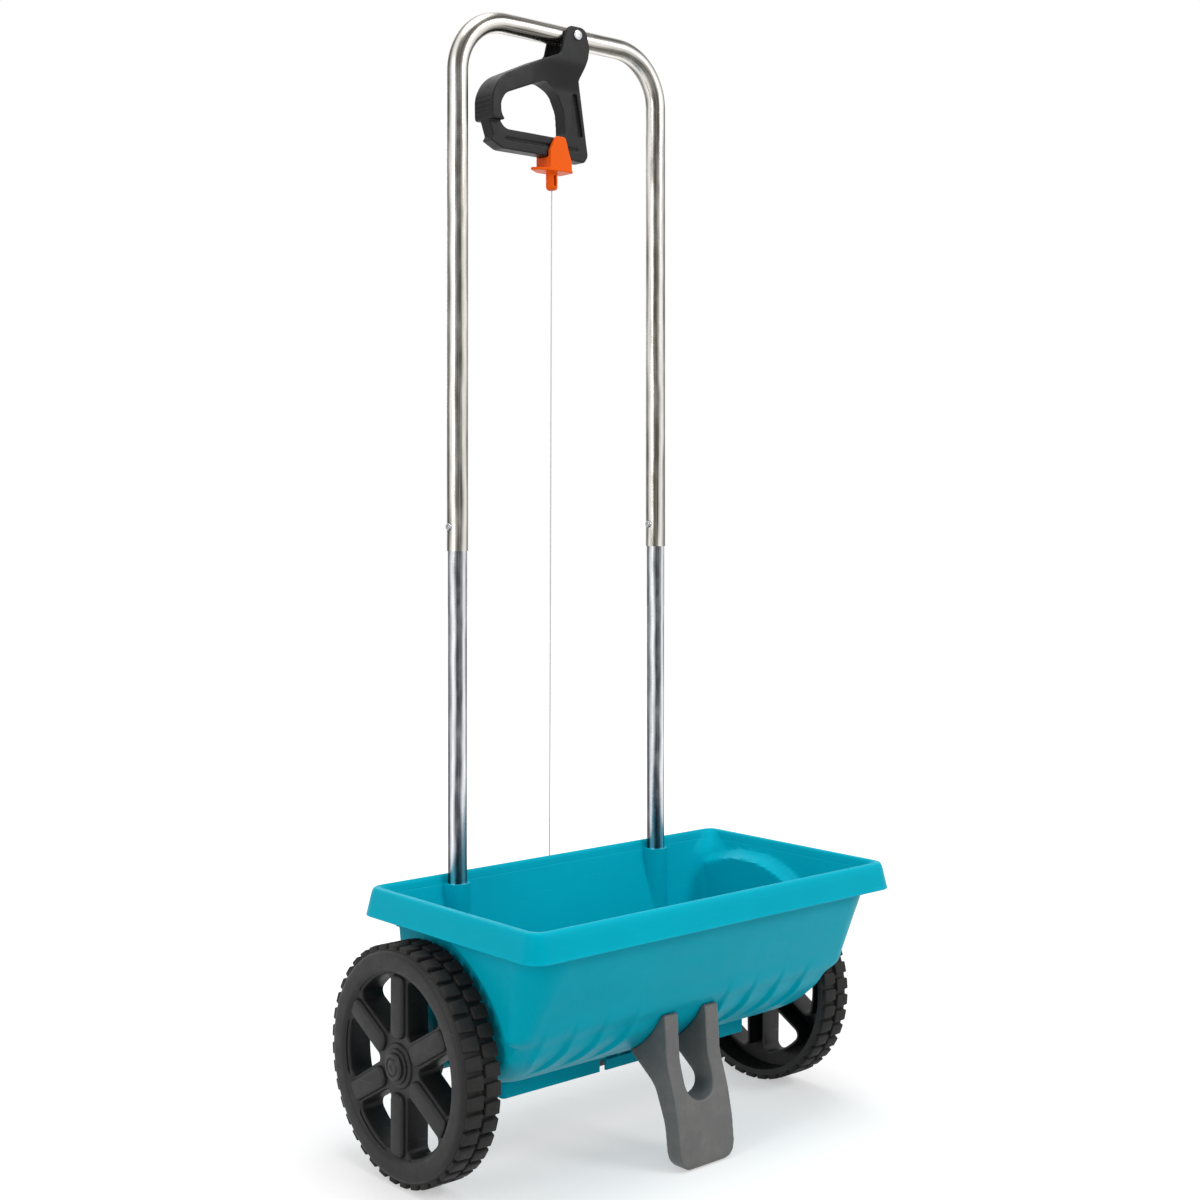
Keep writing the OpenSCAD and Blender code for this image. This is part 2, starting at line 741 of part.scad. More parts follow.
// Lever outlines, from the bolt: cheeks, lower loop and finger opening
cheek_out = [[-105.5, -59.7, 40], [-48.5, -33.2, 14], [-22.5, -22.7, 8], [-18.5, -6.7, 8],
             [-12.5, 9.3, 10], [12.5, 9.3, 10], [18, -11.7, 8], [16, -23.7, 12],
             [6.5, -46.7, 12], [7, -62, 6], [-20, -66, 3], [-60, -70, 2], [-100, -90, 2],
             [-99.5, -105.2, 0.8], [-115.5, -105.2, 3], [-116, -80.7, 30]];
loop_out = [[-30, -40, 0], [8, -40, 0], [9.5, -50, 10], [20, -114, 10], [22.5, -128, 8],
            [17, -135.7, 5], [-8, -134, 0], [-96, -134, 14], [-111.5, -126.5, 0.8],
            [-108.5, -121.5, 1], [-114, -106, 6], [-114, -90, 0], [-80, -60, 0]];
opening_out = [[-40.5, -53.7, 12], [-22, -64, 22], [-12.5, -83.7, 20], [-10, -113, 8],
               [-94, -112.5, 14], [-103.5, -98, 14], [-104, -87, 14], [-97.5, -76.7, 14]];
groove_out = [[0, -62, 2], [6, -62, 2], [15, -108, 2], [0, -108, 2]];

// An outline placed on the lever's bolt, between y0 and y1
module lever_slab(points, y0, y1) {
    plate_y(y0, y1) translate([bolt_x, bar_z]) polygon(rounded(points));
}

module hand_lever() {
    color([0.19, 0.19, 0.20]) stand() difference() {
        union() {
            lever_slab(cheek_out, -lever_w / 2, lever_w / 2);
            lever_slab(loop_out, -loop_w / 2, loop_w / 2);
        }
        lever_slab(opening_out, -lever_w, lever_w);
        translate([bolt_x - 28, -bar_gap_y, bar_z - 29]) cube([60, 2 * bar_gap_y, 50]);
        for (side = [-1, 1]) scale([1, side, 1])
            lever_slab(groove_out, loop_w / 2 - 4, loop_w);
        for (side = [-1, 1]) scale([1, side, 1])
            translate([bolt_x - 92, loop_w / 2 - 1.5, bar_z - 124]) cube([100, 4, 3]);
        rod_y(-lever_w, lever_w, bolt_d / 2 + run_gap, bolt_x, bar_z);
    }
}

bolt_end = lever_w / 2 + 6;
module lever_bolt() {
    color([0.80, 0.81, 0.83]) stand() {
        rod_y(-lever_w / 2 - 1, bolt_end, bolt_d / 2, bolt_x, bar_z);
        rod_y(-lever_w / 2 - run_gap - 2.6, -lever_w / 2 - run_gap, bolt_d * 0.9, bolt_x, bar_z);
    }
}

module lever_nut() {
    color([0.80, 0.81, 0.83]) stand() difference() {
        translate([bolt_x, lever_w / 2 + eps, bar_z]) rotate([-90, 0, 0])
            cylinder(h = 5, r = bolt_d * 0.96, $fn = 6);
        rod_y(lever_w / 2 - 1, bolt_end + 1, bolt_d / 2 + 0.02, bolt_x, bar_z);
    }
}

module lever_spacers() {
    color([0.14, 0.14, 0.15]) stand() for (side = [-1, 1]) scale([1, side, 1]) difference() {
        rod_y(upper_d / 2 - 1, bar_gap_y - 0.1, bolt_d, bolt_x, bar_z);
        rod_y(0, bar_gap_y + 1, bolt_d / 2 + 0.1, bolt_x, bar_z);
        translate([bolt_x - 20, 0, bar_z]) rotate([0, 90, 0])
            cylinder(h = 40, r = upper_d / 2 + eps);
    }
}

// Dose slider: a saddle on the loop's rail, a thumb flange and the cord's spout
slider_x0 = -25;
slider_x1 = 5;
saddle_out = [[slider_x0, -24.8, 0], [slider_x0, -4, 3], [slider_x0 + 8, 12, 4],
              [slider_x1 - 9, 12, 4], [slider_x1 - 4, -4, 3], [slider_x1, -14, 3],
              [slider_x1, -24.8, 0]];
module dose_slider() {
    color([1.0, 0.39, 0.09]) stand() difference() {
        union() {
            plate_y(-slider_w / 2, slider_w / 2)
                translate([0, bar_z - 124]) polygon(rounded(saddle_out));
            translate([0, 0, bar_z - 149.6]) linear_extrude(3)
                polygon(rounded([[-41, -2, 1.5], [slider_x0, -slider_w / 2, 3],
                                 [slider_x1 + 3, -slider_w / 2, 4],
                                 [slider_x1 + 3, slider_w / 2, 4],
                                 [slider_x0, slider_w / 2, 3], [-41, 2, 1.5]]));
            translate([spout_x, 0, spout_z + 3]) cylinder(h = 20, r = 6.4);
            translate([spout_x, 0, spout_z]) cylinder(h = 3, r1 = 4.6, r2 = 6.4);
        }
        translate([slider_x0 - 1, -loop_w / 2 - slide_gap, rail_z - slide_gap])
            cube([slider_x1 - slider_x0 + 9, loop_w + 2 * slide_gap, 60]);
        translate([spout_x, 0, spout_z + 2]) cylinder(h = 30, r = swivel_r + slide_gap);
        translate([spout_x - 4.4, -1.7, spout_z - 1]) cube([8.8, 3.4, 9]);
        translate([spout_x - 1.5, -8, spout_z + 4]) cube([3, 8, 12]);
    }
    color([1.0, 0.39, 0.09]) stand() for (side = [-1, 1]) scale([1, side, 1])
        translate([slider_x0 + 4, loop_w / 2 - 1, bar_z - 123.6]) cube([22, 1.5, 2]);
}

// Line of the cord, from the swivel in the spout to the eye of its link
cord_top = [spout_x, 0, swivel_z];
eye_z = cord_pin_z + 17.5;
cord_low = [cord_pin_x, link_y + link_t / 2, eye_z + 1];
module cord_line(from, to, r) {
    d = to - from;
    translate(from) rotate([0, acos(d[2] / norm(d)), atan2(d[1], d[0])])
        cylinder(h = norm(d), r = r, $fn = 24);
}

module cord_swivel() {
    color([0.80, 0.81, 0.83]) stand() difference() {
        translate(cord_top) sphere(r = swivel_r, $fn = 48);
        cord_line(cord_top - [0, 0, 10], cord_top + [0, 0, 10], cord_d / 2);
    }
}

module pull_cord() {
    color([0.93, 0.93, 0.92]) stand() cord_line(cord_top, cord_low, cord_d / 2);
}

// Long eye at the cord's lower end, in which the crank's pin has room to travel
module cord_link() {
    color([0.75, 0.76, 0.78]) stand() plate_y(link_y, link_y + link_t)
        translate([cord_pin_x, cord_pin_z]) difference() {
            polygon(rounded([[-5.4, -5.5, 5], [5.4, -5.5, 5], [5.4, 17.5, 5], [-5.4, 17.5, 5]]));
            polygon(rounded([[-3.4, -3.2, 3], [3.4, -3.2, 3], [3.4, 15, 3], [-3.4, 15, 3]]));
        }
}

// Bell crank: long arm to the cord, short forked arm to the shutter's pin
module bell_crank() {
    color([0.19, 0.19, 0.20]) stand() difference() {
        union() {
            translate([crank_x, 0, crank_z]) rotate([0, crank_half, 0]) {
                rod_y(crank_y, crank_y + crank_t, 8.5, 0, 0);
                plate_y(crank_y, crank_y + crank_t)
                    polygon(rounded([[0, -8, 0], [crank_arm, -4.5, 0], [crank_arm, 4.5, 0],
                                     [0, 8, 0]]));
                rod_y(crank_y, crank_y + crank_t, 4.5, crank_arm, 0);
                rod_y(crank_y, link_y + link_t + 0.5, cord_pin_d / 2, crank_arm, 0);
                rod_y(link_y + link_t + 0.3, link_y + link_t + 1.5, 3.6, crank_arm, 0);
                plate_y(crank_y, crank_y + crank_t)
                    polygon(rounded([[-6, 0, 0], [-5.5, -crank_short - 5, 2],
                                     [5.5, -crank_short - 5, 2], [6, 0, 0]]));
            }
        }
        rod_y(crank_y - 1, crank_y + crank_t + 1, crank_shoulder_d / 2 + run_gap,
              crank_x, crank_z);
        translate([crank_x, 0, crank_z]) rotate([0, crank_half, 0])
            translate([-pin_d / 2 - 0.2, crank_y - 1, -crank_short - 9])
                cube([pin_d + 0.4, crank_t + 2, 11.8]);
    }
}

module crank_screw() {
    color([0.75, 0.76, 0.78]) stand() {
        rod_y(crank_y - slide_gap, crank_y + crank_t + slide_gap, crank_shoulder_d / 2,
              crank_x, crank_z);
        rod_y(crank_y + crank_t + slide_gap, crank_y + crank_t + slide_gap + 2.6, 5.5,
              crank_x, crank_z);
        rod_y(crank_y - 13, crank_y - slide_gap, 2, crank_x, crank_z);
    }
}

// Torsion spring round the crank's boss: a leg down beside the rib, coils, a leg by the arm
wire_d = 1.2;
coil_r = crank_boss_r + 1.2;
spring_leg_x = crank_x - coil_r;
coil_turns = 4.25;
coil_pitch = 1.4;
coil_end_y = crank_y - 1 - wire_d / 2;
coil_steps = 68;
function coil_point(i) =
    let (turn = coil_turns * i / coil_steps, a = 180 - 360 * turn)
    [coil_r * cos(a), coil_end_y - coil_pitch * (coil_turns - turn), coil_r * sin(a)];
spring_path = concat([coil_point(0) - [0, 0, 22], coil_point(0) - [0, 0, 4]],
                     [for (i = [0:coil_steps]) coil_point(i)],
                     [coil_point(coil_steps) + [4, 0, 0], coil_point(coil_steps) + [24, 0, 0]]);

// Closed tube of "sides" sides swept along a path whose bends lie about the Y axis
module swept_wire(path, r, sides) {
    n = len(path);
    rings = [for (i = [0:n - 1])
        let (t = unit(path[min(i + 1, n - 1)] - path[max(i - 1, 0)]),
             u = unit(cross([0, 1, 0], t)), v = cross(t, u))
        for (k = [0:sides - 1]) path[i] + r * (cos(360 * k / sides) * u + sin(360 * k / sides) * v)];
    walls = [for (i = [0:n - 2], k = [0:sides - 1])
        [i * sides + k, i * sides + (k + 1) % sides, (i + 1) * sides + (k + 1) % sides,
         (i + 1) * sides + k]];
    polyhedron(rings, concat(walls, [[for (k = [sides - 1:-1:0]) k],
                                     [for (k = [0:sides - 1]) (n - 1) * sides + k]]));
}

module return_spring() {
    color([0.62, 0.63, 0.66]) stand() translate([crank_x, 0, crank_z])
        swept_wire(spring_path, wire_d / 2, 6);
}

hopper();
shutter();
shutter_rail_front();
shutter_rail_back();
rail_screws();
stand_foot();
foot_screws();
upper_tube();
lower_tube_left();
lower_tube_right();
socket_screws();
snap_button_left();
snap_button_right();
snap_spring_left();
snap_spring_right();
axle();
feed_roller();
axle_bushes();
axle_washers();
wheel_left();
wheel_right();
hub_cap_left();
hub_cap_right();
drive_pin();
hand_lever();
lever_bolt();
lever_nut();
lever_spacers();
dose_slider();
cord_swivel();
pull_cord();
cord_link();
bell_crank();
crank_screw();
return_spring();
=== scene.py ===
import math

import bmesh
import bpy
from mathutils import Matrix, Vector


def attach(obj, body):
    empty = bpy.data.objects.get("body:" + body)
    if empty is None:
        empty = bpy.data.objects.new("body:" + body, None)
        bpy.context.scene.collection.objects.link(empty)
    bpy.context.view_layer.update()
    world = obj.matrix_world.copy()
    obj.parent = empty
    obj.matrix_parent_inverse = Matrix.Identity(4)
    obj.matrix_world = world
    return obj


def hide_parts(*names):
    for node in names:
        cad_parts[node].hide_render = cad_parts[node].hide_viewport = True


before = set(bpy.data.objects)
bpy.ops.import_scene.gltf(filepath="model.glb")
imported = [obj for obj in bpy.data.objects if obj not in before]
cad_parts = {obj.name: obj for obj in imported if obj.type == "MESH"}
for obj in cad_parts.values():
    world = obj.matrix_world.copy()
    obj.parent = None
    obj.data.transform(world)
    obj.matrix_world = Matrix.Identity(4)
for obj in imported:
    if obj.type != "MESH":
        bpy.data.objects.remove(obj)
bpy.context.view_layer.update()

scene = bpy.context.scene
scene.view_settings.view_transform = "Standard"

MM = 0.001


# ---------------------------------------------------------------- camera and studio

CAMERA_AT = Vector((-1230.9, -1362.95, 660.5)) * MM
CAMERA_YAW = math.radians(41.23)
CAMERA_LENS = 52.9
CAMERA_SHIFT_Y = -0.085


def make_camera():
    data = bpy.data.cameras.new("camera")
    data.sensor_width = 36
    data.lens = CAMERA_LENS
    data.shift_y = CAMERA_SHIFT_Y
    camera = bpy.data.objects.new("camera", data)
    camera.location = CAMERA_AT
    camera.rotation_euler = (math.radians(90), 0, -CAMERA_YAW)
    scene.collection.objects.link(camera)
    scene.camera = camera


def area_light(name, at, aim, size, power):
    """A soft box of size (width, height) in metres at "at", which faces "aim"."""
    data = bpy.data.lights.new(name, "AREA")
    data.shape = "RECTANGLE"
    data.size, data.size_y = size
    data.energy = power
    light = bpy.data.objects.new(name, data)
    light.location = at
    light.rotation_euler = (Vector(aim) - Vector(at)).to_track_quat("-Z", "Y").to_euler()
    scene.collection.objects.link(light)


def make_studio():
    area_light("key", (1.5, -2.7, 2.4), (0, 0, 0.4), (1.2, 1.2), 40)
    area_light("fill", (-3.0, -0.5, 1.5), (0, 0, 0.4), (0.7, 1.8), 24)
    area_light("top", (-0.1, -0.3, 3.2), (0, 0, 0.2), (1.6, 1.6), 40)
    area_light("back", (0.6, 2.8, 1.8), (0, 0, 0.5), (1.2, 2.0), 12)

    world = bpy.data.worlds.new("studio")
    world.use_nodes = True
    scene.world = world
    nodes, links = world.node_tree.nodes, world.node_tree.links
    nodes.clear()
    out = nodes.new("ShaderNodeOutputWorld")
    mix = nodes.new("ShaderNodeMixShader")
    for socket, strength in ((1, 0.5), (2, 1.0)):
        light = nodes.new("ShaderNodeBackground")
        light.inputs["Color"].default_value = (1, 1, 1, 1)
        light.inputs["Strength"].default_value = strength
        links.new(light.outputs["Background"], mix.inputs[socket])
    links.new(seen_or_mirrored(nodes, links), mix.inputs["Fac"])
    links.new(mix.outputs["Shader"], out.inputs["Surface"])


def seen_or_mirrored(nodes, links):
    """1 on rays from the camera, and on those that a mirror or glass sends on."""
    path = nodes.new("ShaderNodeLightPath")
    total = path.outputs["Is Camera Ray"]
    for ray in ("Is Glossy Ray", "Is Transmission Ray"):
        add = nodes.new("ShaderNodeMath")
        add.operation = "MAXIMUM"
        links.new(total, add.inputs[0])
        links.new(path.outputs[ray], add.inputs[1])
        total = add.outputs["Value"]
    return total


def set_range(node, *ends):
    """The ends of a Map Range node: from low and high, to low and high."""
    for socket, end in zip(("From Min", "From Max", "To Min", "To Max"), ends):
        node.inputs[socket].default_value = end


def make_floor():
    """A pale floor that lights itself for the camera, so that only its shadows show."""
    bm = bmesh.new()
    bmesh.ops.create_circle(bm, cap_ends=True, segments=96, radius=9)
    mesh = bpy.data.meshes.new("floor")
    bm.to_mesh(mesh)
    bm.free()
    floor = bpy.data.objects.new("floor", mesh)
    floor.location.z = -0.0005
    scene.collection.objects.link(floor)
    material = bpy.data.materials.new("floor")
    material.use_nodes = True
    nodes, links = material.node_tree.nodes, material.node_tree.links
    nodes.clear()
    out = nodes.new("ShaderNodeOutputMaterial")
    diffuse = nodes.new("ShaderNodeBsdfDiffuse")
    diffuse.inputs["Color"].default_value = (0.62, 0.62, 0.62, 1)
    glow = nodes.new("ShaderNodeEmission")
    glow.inputs["Color"].default_value = (1, 1, 1, 1)
    strength = nodes.new("ShaderNodeMath")
    strength.operation = "MULTIPLY"
    distance = nodes.new("ShaderNodeVectorMath")
    distance.operation = "LENGTH"
    links.new(nodes.new("ShaderNodeTexCoord").outputs["Object"], distance.inputs[0])
    fade = nodes.new("ShaderNodeMapRange")
    set_range(fade, 0.5, 2.0, 0.45, 0.8)
    links.new(distance.outputs["Value"], fade.inputs["Value"])
    links.new(seen_or_mirrored(nodes, links), strength.inputs[0])
    links.new(fade.outputs["Result"], strength.inputs[1])
    links.new(strength.outputs["Value"], glow.inputs["Strength"])
    add = nodes.new("ShaderNodeAddShader")
    links.new(diffuse.outputs["BSDF"], add.inputs[0])
    links.new(glow.outputs["Emission"], add.inputs[1])
    links.new(add.outputs["Shader"], out.inputs["Surface"])
    mesh.materials.append(material)


# ---------------------------------------------------------------- materials

class Finish:
    """A node material. Constant values go on the shader's own sockets."""

    def __init__(self, name, **sockets):
        self.material = bpy.data.materials.new(name)
        self.material.use_nodes = True
        self.nodes = self.material.node_tree.nodes
        self.links = self.material.node_tree.links
        self.shader = self.nodes["Principled BSDF"]
        for socket, value in sockets.items():
            self.shader.inputs[socket.replace("_", " ")].default_value = value
        self.height = None

    def place(self, scale, layer=None):
        """Coordinates in metres, times scale: the piece's own, or a layer laid along it."""
        if layer:
            source = self.nodes.new("ShaderNodeUVMap")
            source.uv_map = layer
            out = source.outputs["UV"]
        else:
            out = self.nodes.new("ShaderNodeTexCoord").outputs["Object"]
        mapping = self.nodes.new("ShaderNodeMapping")
        mapping.inputs["Scale"].default_value = scale
        self.links.new(out, mapping.inputs["Vector"])
        return mapping.outputs["Vector"]

    def noise(self, scale, detail, layer=None, rough=0.55):
        if not isinstance(scale, tuple):
            scale = (scale, scale, scale)
        node = self.nodes.new("ShaderNodeTexNoise")
        node.inputs["Scale"].default_value = 1.0
        node.inputs["Detail"].default_value = detail
        node.inputs["Roughness"].default_value = rough
        self.links.new(self.place(scale, layer), node.inputs["Vector"])
        return node.outputs["Fac"]

    def remap(self, value, low, high, to_low=0.0, to_high=1.0):
        node = self.nodes.new("ShaderNodeMapRange")
        set_range(node, low, high, to_low, to_high)
        self.links.new(value, node.inputs["Value"])
        return node.outputs["Result"]

    def math(self, operation, a, b):
        node = self.nodes.new("ShaderNodeMath")
        node.operation = operation
        for i, value in enumerate((a, b)):
            if isinstance(value, (int, float)):
                node.inputs[i].default_value = value
            else:
                self.links.new(value, node.inputs[i])
        return node.outputs["Value"]

    def vector_math(self, operation, value, constant=None):
        node = self.nodes.new("ShaderNodeVectorMath")
        node.operation = operation
        self.links.new(value, node.inputs[0])
        if constant:
            node.inputs[1].default_value = constant
        return node.outputs["Value" if operation == "LENGTH" else "Vector"]

    def blend(self, factor, a, b):
        """Colour a where factor is 0 and b where it is 1."""
        node = self.nodes.new("ShaderNodeMix")
        node.data_type = "RGBA"
        for socket, value in ((0, factor), (6, a), (7, b)):
            if isinstance(value, tuple):
                node.inputs[socket].default_value = (*value[:3], 1)
            else:
                self.links.new(value, node.inputs[socket])
        return node.outputs[2]

    def color(self, value):
        self.links.new(value, self.shader.inputs["Base Color"])

    def roughness(self, value):
        self.links.new(value, self.shader.inputs["Roughness"])

    def bump(self, height, depth):
        """Adds a relief of the given depth in metres to those already there."""
        node = self.nodes.new("ShaderNodeBump")
        node.inputs["Strength"].default_value = 1.0
        node.inputs["Distance"].default_value = depth
        self.links.new(height, node.inputs["Height"])
        if self.height:
            self.links.new(self.height, node.inputs["Normal"])
        self.height = node.outputs["Normal"]
        self.links.new(self.height, self.shader.inputs["Normal"])


def tint(color, factor):
    return tuple(min(1.0, c * factor) for c in color[:3])


def scratches(finish, strength):
    """Fine hairline marks in two directions, as a factor from 0 to strength."""
    one = finish.remap(finish.noise((30, 900, 420), 2), 0.66, 0.74, 0, strength)
    two = finish.remap(finish.noise((850, 25, 380), 2), 0.67, 0.75, 0, strength)
    return finish.math("MAXIMUM", one, two)


def moulded(name, color, roughness, grain=1400, grain_depth=0.00004, mottle=0.05, dust=0.0,
            **sockets):
    """Injection-moulded plastic: eroded grain, cloudy colour, fine scuffs and a little dust."""
    finish = Finish(name, Roughness=roughness, **sockets)
    cloud = finish.remap(finish.noise(14, 3), 0.3, 0.7)
    base = finish.blend(cloud, tint(color, 1 - mottle), tint(color, 1 + mottle))
    marks = scratches(finish, 0.16)
    base = finish.blend(marks, base, tint([c + 0.03 for c in color], 1.2))
    if dust:
        patch = finish.remap(finish.noise(55, 4, rough=0.7), 0.46, 0.72, 0, dust)
        base = finish.blend(patch, base, (0.32, 0.29, 0.26))
    finish.color(base)
    rough = finish.remap(finish.noise(70, 4), 0.3, 0.7, roughness - 0.05, roughness + 0.06)
    finish.roughness(finish.math("ADD", rough, marks))
    finish.bump(finish.noise(grain, 2), grain_depth)
    finish.bump(finish.noise(34, 2), 0.00012)
    return finish.material


# How many bright and dark bands of painted reflection run round each tube
REFLECTION_BANDS = 5


def tube_metal(name, radius, color, reflected_dark, sharp):
    """Drawn tube: painted reflection in bright and dark bands along it, fine streaks and small
    handling marks.
    """
    finish = Finish(name, Metallic=1.0, Anisotropic=0.35)
    apart = finish.nodes.new("ShaderNodeSeparateXYZ")
    finish.links.new(finish.place((1, 1, 1), "along"), apart.inputs["Vector"])
    sway = finish.remap(finish.noise((22, 7, 1), 3, layer="along"), 0.3, 0.7, -3.0, -1.0)
    # Painted reflection: bright and dark bands round the tube, as of lamps and a dark room mirrored
    # in it, wavering along it
    turn = finish.math("MULTIPLY", apart.outputs["X"], REFLECTION_BANDS / radius)
    wave = finish.math("SINE", finish.math("ADD", turn, sway), 0)
    painted_reflection = finish.math("POWER", finish.remap(wave, -0.85, 1.0), sharp)
    streak = finish.remap(finish.noise((620, 5, 1), 4, layer="along"), 0.32, 0.68, -0.2, 0.2)
    # Fine streaks of grain blur the edges of the painted reflection, which goes from the reflected
    # dark colour to the bright one
    base = finish.blend(finish.remap(finish.math("ADD", painted_reflection, streak), 0, 1), reflected_dark, color)
    cloud = finish.remap(finish.noise((38, 24, 1), 4, layer="along"), 0.45, 0.75, 0, 0.4)
    base = finish.blend(cloud, base, tint(color, 0.55))
    finish.color(base)
    marks = finish.remap(finish.noise((90, 420, 1), 3, layer="along"), 0.64, 0.72, 0, 0.12)
    rough = finish.remap(finish.noise((300, 14, 1), 3, layer="along"), 0.3, 0.7, 0.2, 0.34)
    finish.roughness(finish.math("ADD", rough, marks))
    finish.bump(finish.noise((900, 12, 1), 3, layer="along"), 0.00003)
    finish.bump(finish.noise((25, 30, 1), 2, layer="along"), 0.00012)
    return finish.material


def metal(name, color, roughness, stretch=(700, 700, 60)):
    """Plated or drawn steel with a faint grain."""
    finish = Finish(name, Metallic=1.0, Roughness=roughness)
    grain = finish.remap(finish.noise(stretch, 4), 0.3, 0.7)
    stain = finish.remap(finish.noise(120, 4), 0.5, 0.75, 0, 0.4)
    finish.color(finish.blend(stain, finish.blend(grain, tint(color, 0.9), color),
                              tint(color, 0.72)))
    finish.roughness(finish.remap(grain, 0, 1, roughness - 0.05, roughness + 0.08))
    finish.bump(grain, 0.00001)
    return finish.material


def wheel_plastic(name, color, centre, face_radius):
    """Moulded wheel: clean near the hub, with earth dust that settles in the tread."""
    finish = Finish(name, Roughness=0.5, Specular_IOR_Level=0.3)
    place = finish.nodes.new("ShaderNodeTexCoord").outputs["Object"]
    from_centre = finish.vector_math("SUBTRACT", place, centre)
    from_axle = finish.vector_math("MULTIPLY", from_centre, (0, 1, 1))
    outside = finish.remap(finish.vector_math("LENGTH", from_axle), face_radius,
                           face_radius + 0.004)
    cloud = finish.remap(finish.noise(20, 3), 0.3, 0.7)
    base = finish.blend(cloud, tint(color, 0.88), tint(color, 1.14))
    marks = scratches(finish, 0.2)
    base = finish.blend(marks, base, (0.11, 0.105, 0.1))
    earth = finish.remap(finish.noise(160, 5, rough=0.7), 0.38, 0.66, 0.12, 0.95)
    base = finish.blend(finish.math("MULTIPLY", outside, earth), base, (0.02, 0.018, 0.017))
    finish.color(base)
    rough = finish.remap(finish.noise(80, 4), 0.3, 0.7, 0.4, 0.54)
    finish.roughness(finish.math("ADD", rough, finish.math("MULTIPLY", outside, 0.25)))
    finish.bump(finish.noise(1100, 2), 0.00005)
    return finish.material


def braid(name, color):
    """Twisted nylon: fine fibres along each strand."""
    finish = Finish(name, Roughness=0.6, Sheen_Weight=0.2)
    fibre = finish.remap(finish.noise((2600, 2600, 500), 3), 0.3, 0.7)
    finish.color(finish.blend(fibre, tint(color, 0.82), color))
    finish.bump(fibre, 0.00003)
    return finish.material


# ---------------------------------------------------------------- mesh helpers

STAND = 105.5


def at_stand(x, y, z):
    """A point in millimetres, Y from the tubes' plane, as a place in the row frame."""
    return Vector((x, y + STAND, z)) * MM


def in_front(p, h):
    """An outline in X and Z, extruded along Y."""
    return p[0], h, p[1]


def from_side(p, h):
    """An outline in Y and Z, extruded along X."""
    return h, p[0], p[1]


def from_above(p, h):
    """An outline in X and Y, extruded along Z."""
    return p[0], p[1], h


def on_wheel(side):
    """A wheel's own plane, with h along the axle from its inner face."""
    def spot(p, h):
        return side * (WHEEL_IN + h), AXLE_Y + p[1], AXLE_Z - side * p[0]
    return spot


def rounded(corners, steps=7):
    """An outline of (x, y, radius) corners as points, with each corner rounded."""
    points = []
    for i, (x, y, radius) in enumerate(corners):
        here = Vector((x, y))
        if radius <= 0:
            points.append((x, y))
            continue
        back = (Vector(corners[i - 1][:2]) - here).normalized()
        on = (Vector(corners[(i + 1) % len(corners)][:2]) - here).normalized()
        half = math.acos(max(-1, min(1, back.dot(on)))) / 2
        middle = here + (back + on).normalized() * radius / math.sin(half)
        first = here + back * radius / math.tan(half) - middle
        last = here + on * radius / math.tan(half) - middle
        start = math.atan2(first.y, first.x)
        turn = (math.atan2(last.y, last.x) - start + 5 * math.pi) % (2 * math.pi) - math.pi
        for k in range(steps + 1):
            angle = start + turn * k / steps
            points.append((middle.x + radius * math.cos(angle),
                           middle.y + radius * math.sin(angle)))
    return points


def circle(radius, steps, x=0.0, y=0.0):
    return [(x + radius * math.cos(2 * math.pi * k / steps),
             y + radius * math.sin(2 * math.pi * k / steps)) for k in range(steps)]


def area_of(points):
    return sum(a[0] * b[1] - b[0] * a[1] for a, b in zip(points, points[1:] + points[:1])) / 2


def inset(points, depth):
    """The outline moved inwards by depth along its corners' normals."""
    if not depth:
        return points
    sign = 1 if area_of(points) > 0 else -1
    moved = []
    for i, p in enumerate(points):
        a = Vector(p) - Vector(points[i - 1])
        b = Vector(points[(i + 1) % len(points)]) - Vector(p)
        normal = Vector((-a.y - b.y, a.x + b.x))
        if normal.length < 1e-9:
            normal = Vector((-b.y, b.x))
        normal = normal.normalized() * sign
        moved.append((p[0] + normal.x * depth, p[1] + normal.y * depth))
    return moved


def loft(name, rings, loop=False):
    """A surface through rings of as many points each, in millimetres, closed into a solid."""
    count = len(rings[0])
    points = [at_stand(*p) for ring in rings for p in ring]
    faces = []
    for i in range(len(rings) if loop else len(rings) - 1):
        low, high = i * count, (i + 1) % len(rings) * count
        for k in range(count):
            j = (k + 1) % count
            faces.append((low + k, low + j, high + j, high + k))
    if not loop:
        faces.append(tuple(range(count - 1, -1, -1)))
        faces.append(tuple(range(len(points) - count, len(points))))
    mesh = bpy.data.meshes.new(name)
    mesh.from_pydata(points, [], faces)
    bm = bmesh.new()
    bm.from_mesh(mesh)
    bmesh.ops.recalc_face_normals(bm, faces=bm.faces)
    bm.to_mesh(mesh)
    bm.free()
    piece = bpy.data.objects.new(name, mesh)
    scene.collection.objects.link(piece)
    return piece


def hoop(centre, radius, across, other, sides):
    """Points round a centre, in the plane of two directions."""
    return [tuple(centre + radius * (math.cos(2 * math.pi * k / sides) * across
                                     + math.sin(2 * math.pi * k / sides) * other))
            for k in range(sides)]


def slab(name, outline, profile, spot):
    """An outline drawn through (inset, height) pairs."""
    return loft(name, [[spot(p, h) for p in inset(outline, d)] for d, h in profile])


def flat(y0, y1):
    """Profile of a plate between two heights, in either order."""
    return [(0, y) for y in sorted((y0, y1))]


def quarter(radius, steps):
    """A quarter of a circle, as each point's distances from its two tangents."""
    angles = [math.pi / 2 * k / steps for k in range(steps + 1)]
    return [(radius * (1 - math.sin(a)), radius * (1 - math.cos(a))) for a in angles]


def soft(y0, y1, radius):
    """Profile of a plate from y0 to y1 with both its edges rounded."""
    arc = quarter(radius, 3)
    return [(d, y0 + h) for d, h in arc] + [(d, y1 - h) for d, h in reversed(arc)]


def pillow(y0, y1, radius, foot=0.0, steps=4):
    """Profile that rises from y0, with a fillet at its foot, to a rounded edge at y1."""
    low = [(-d, y0 + h) for d, h in quarter(foot, steps)] if foot else [(0, y0)]
    return low + [(h, y1 - d) for d, h in quarter(radius, steps)]


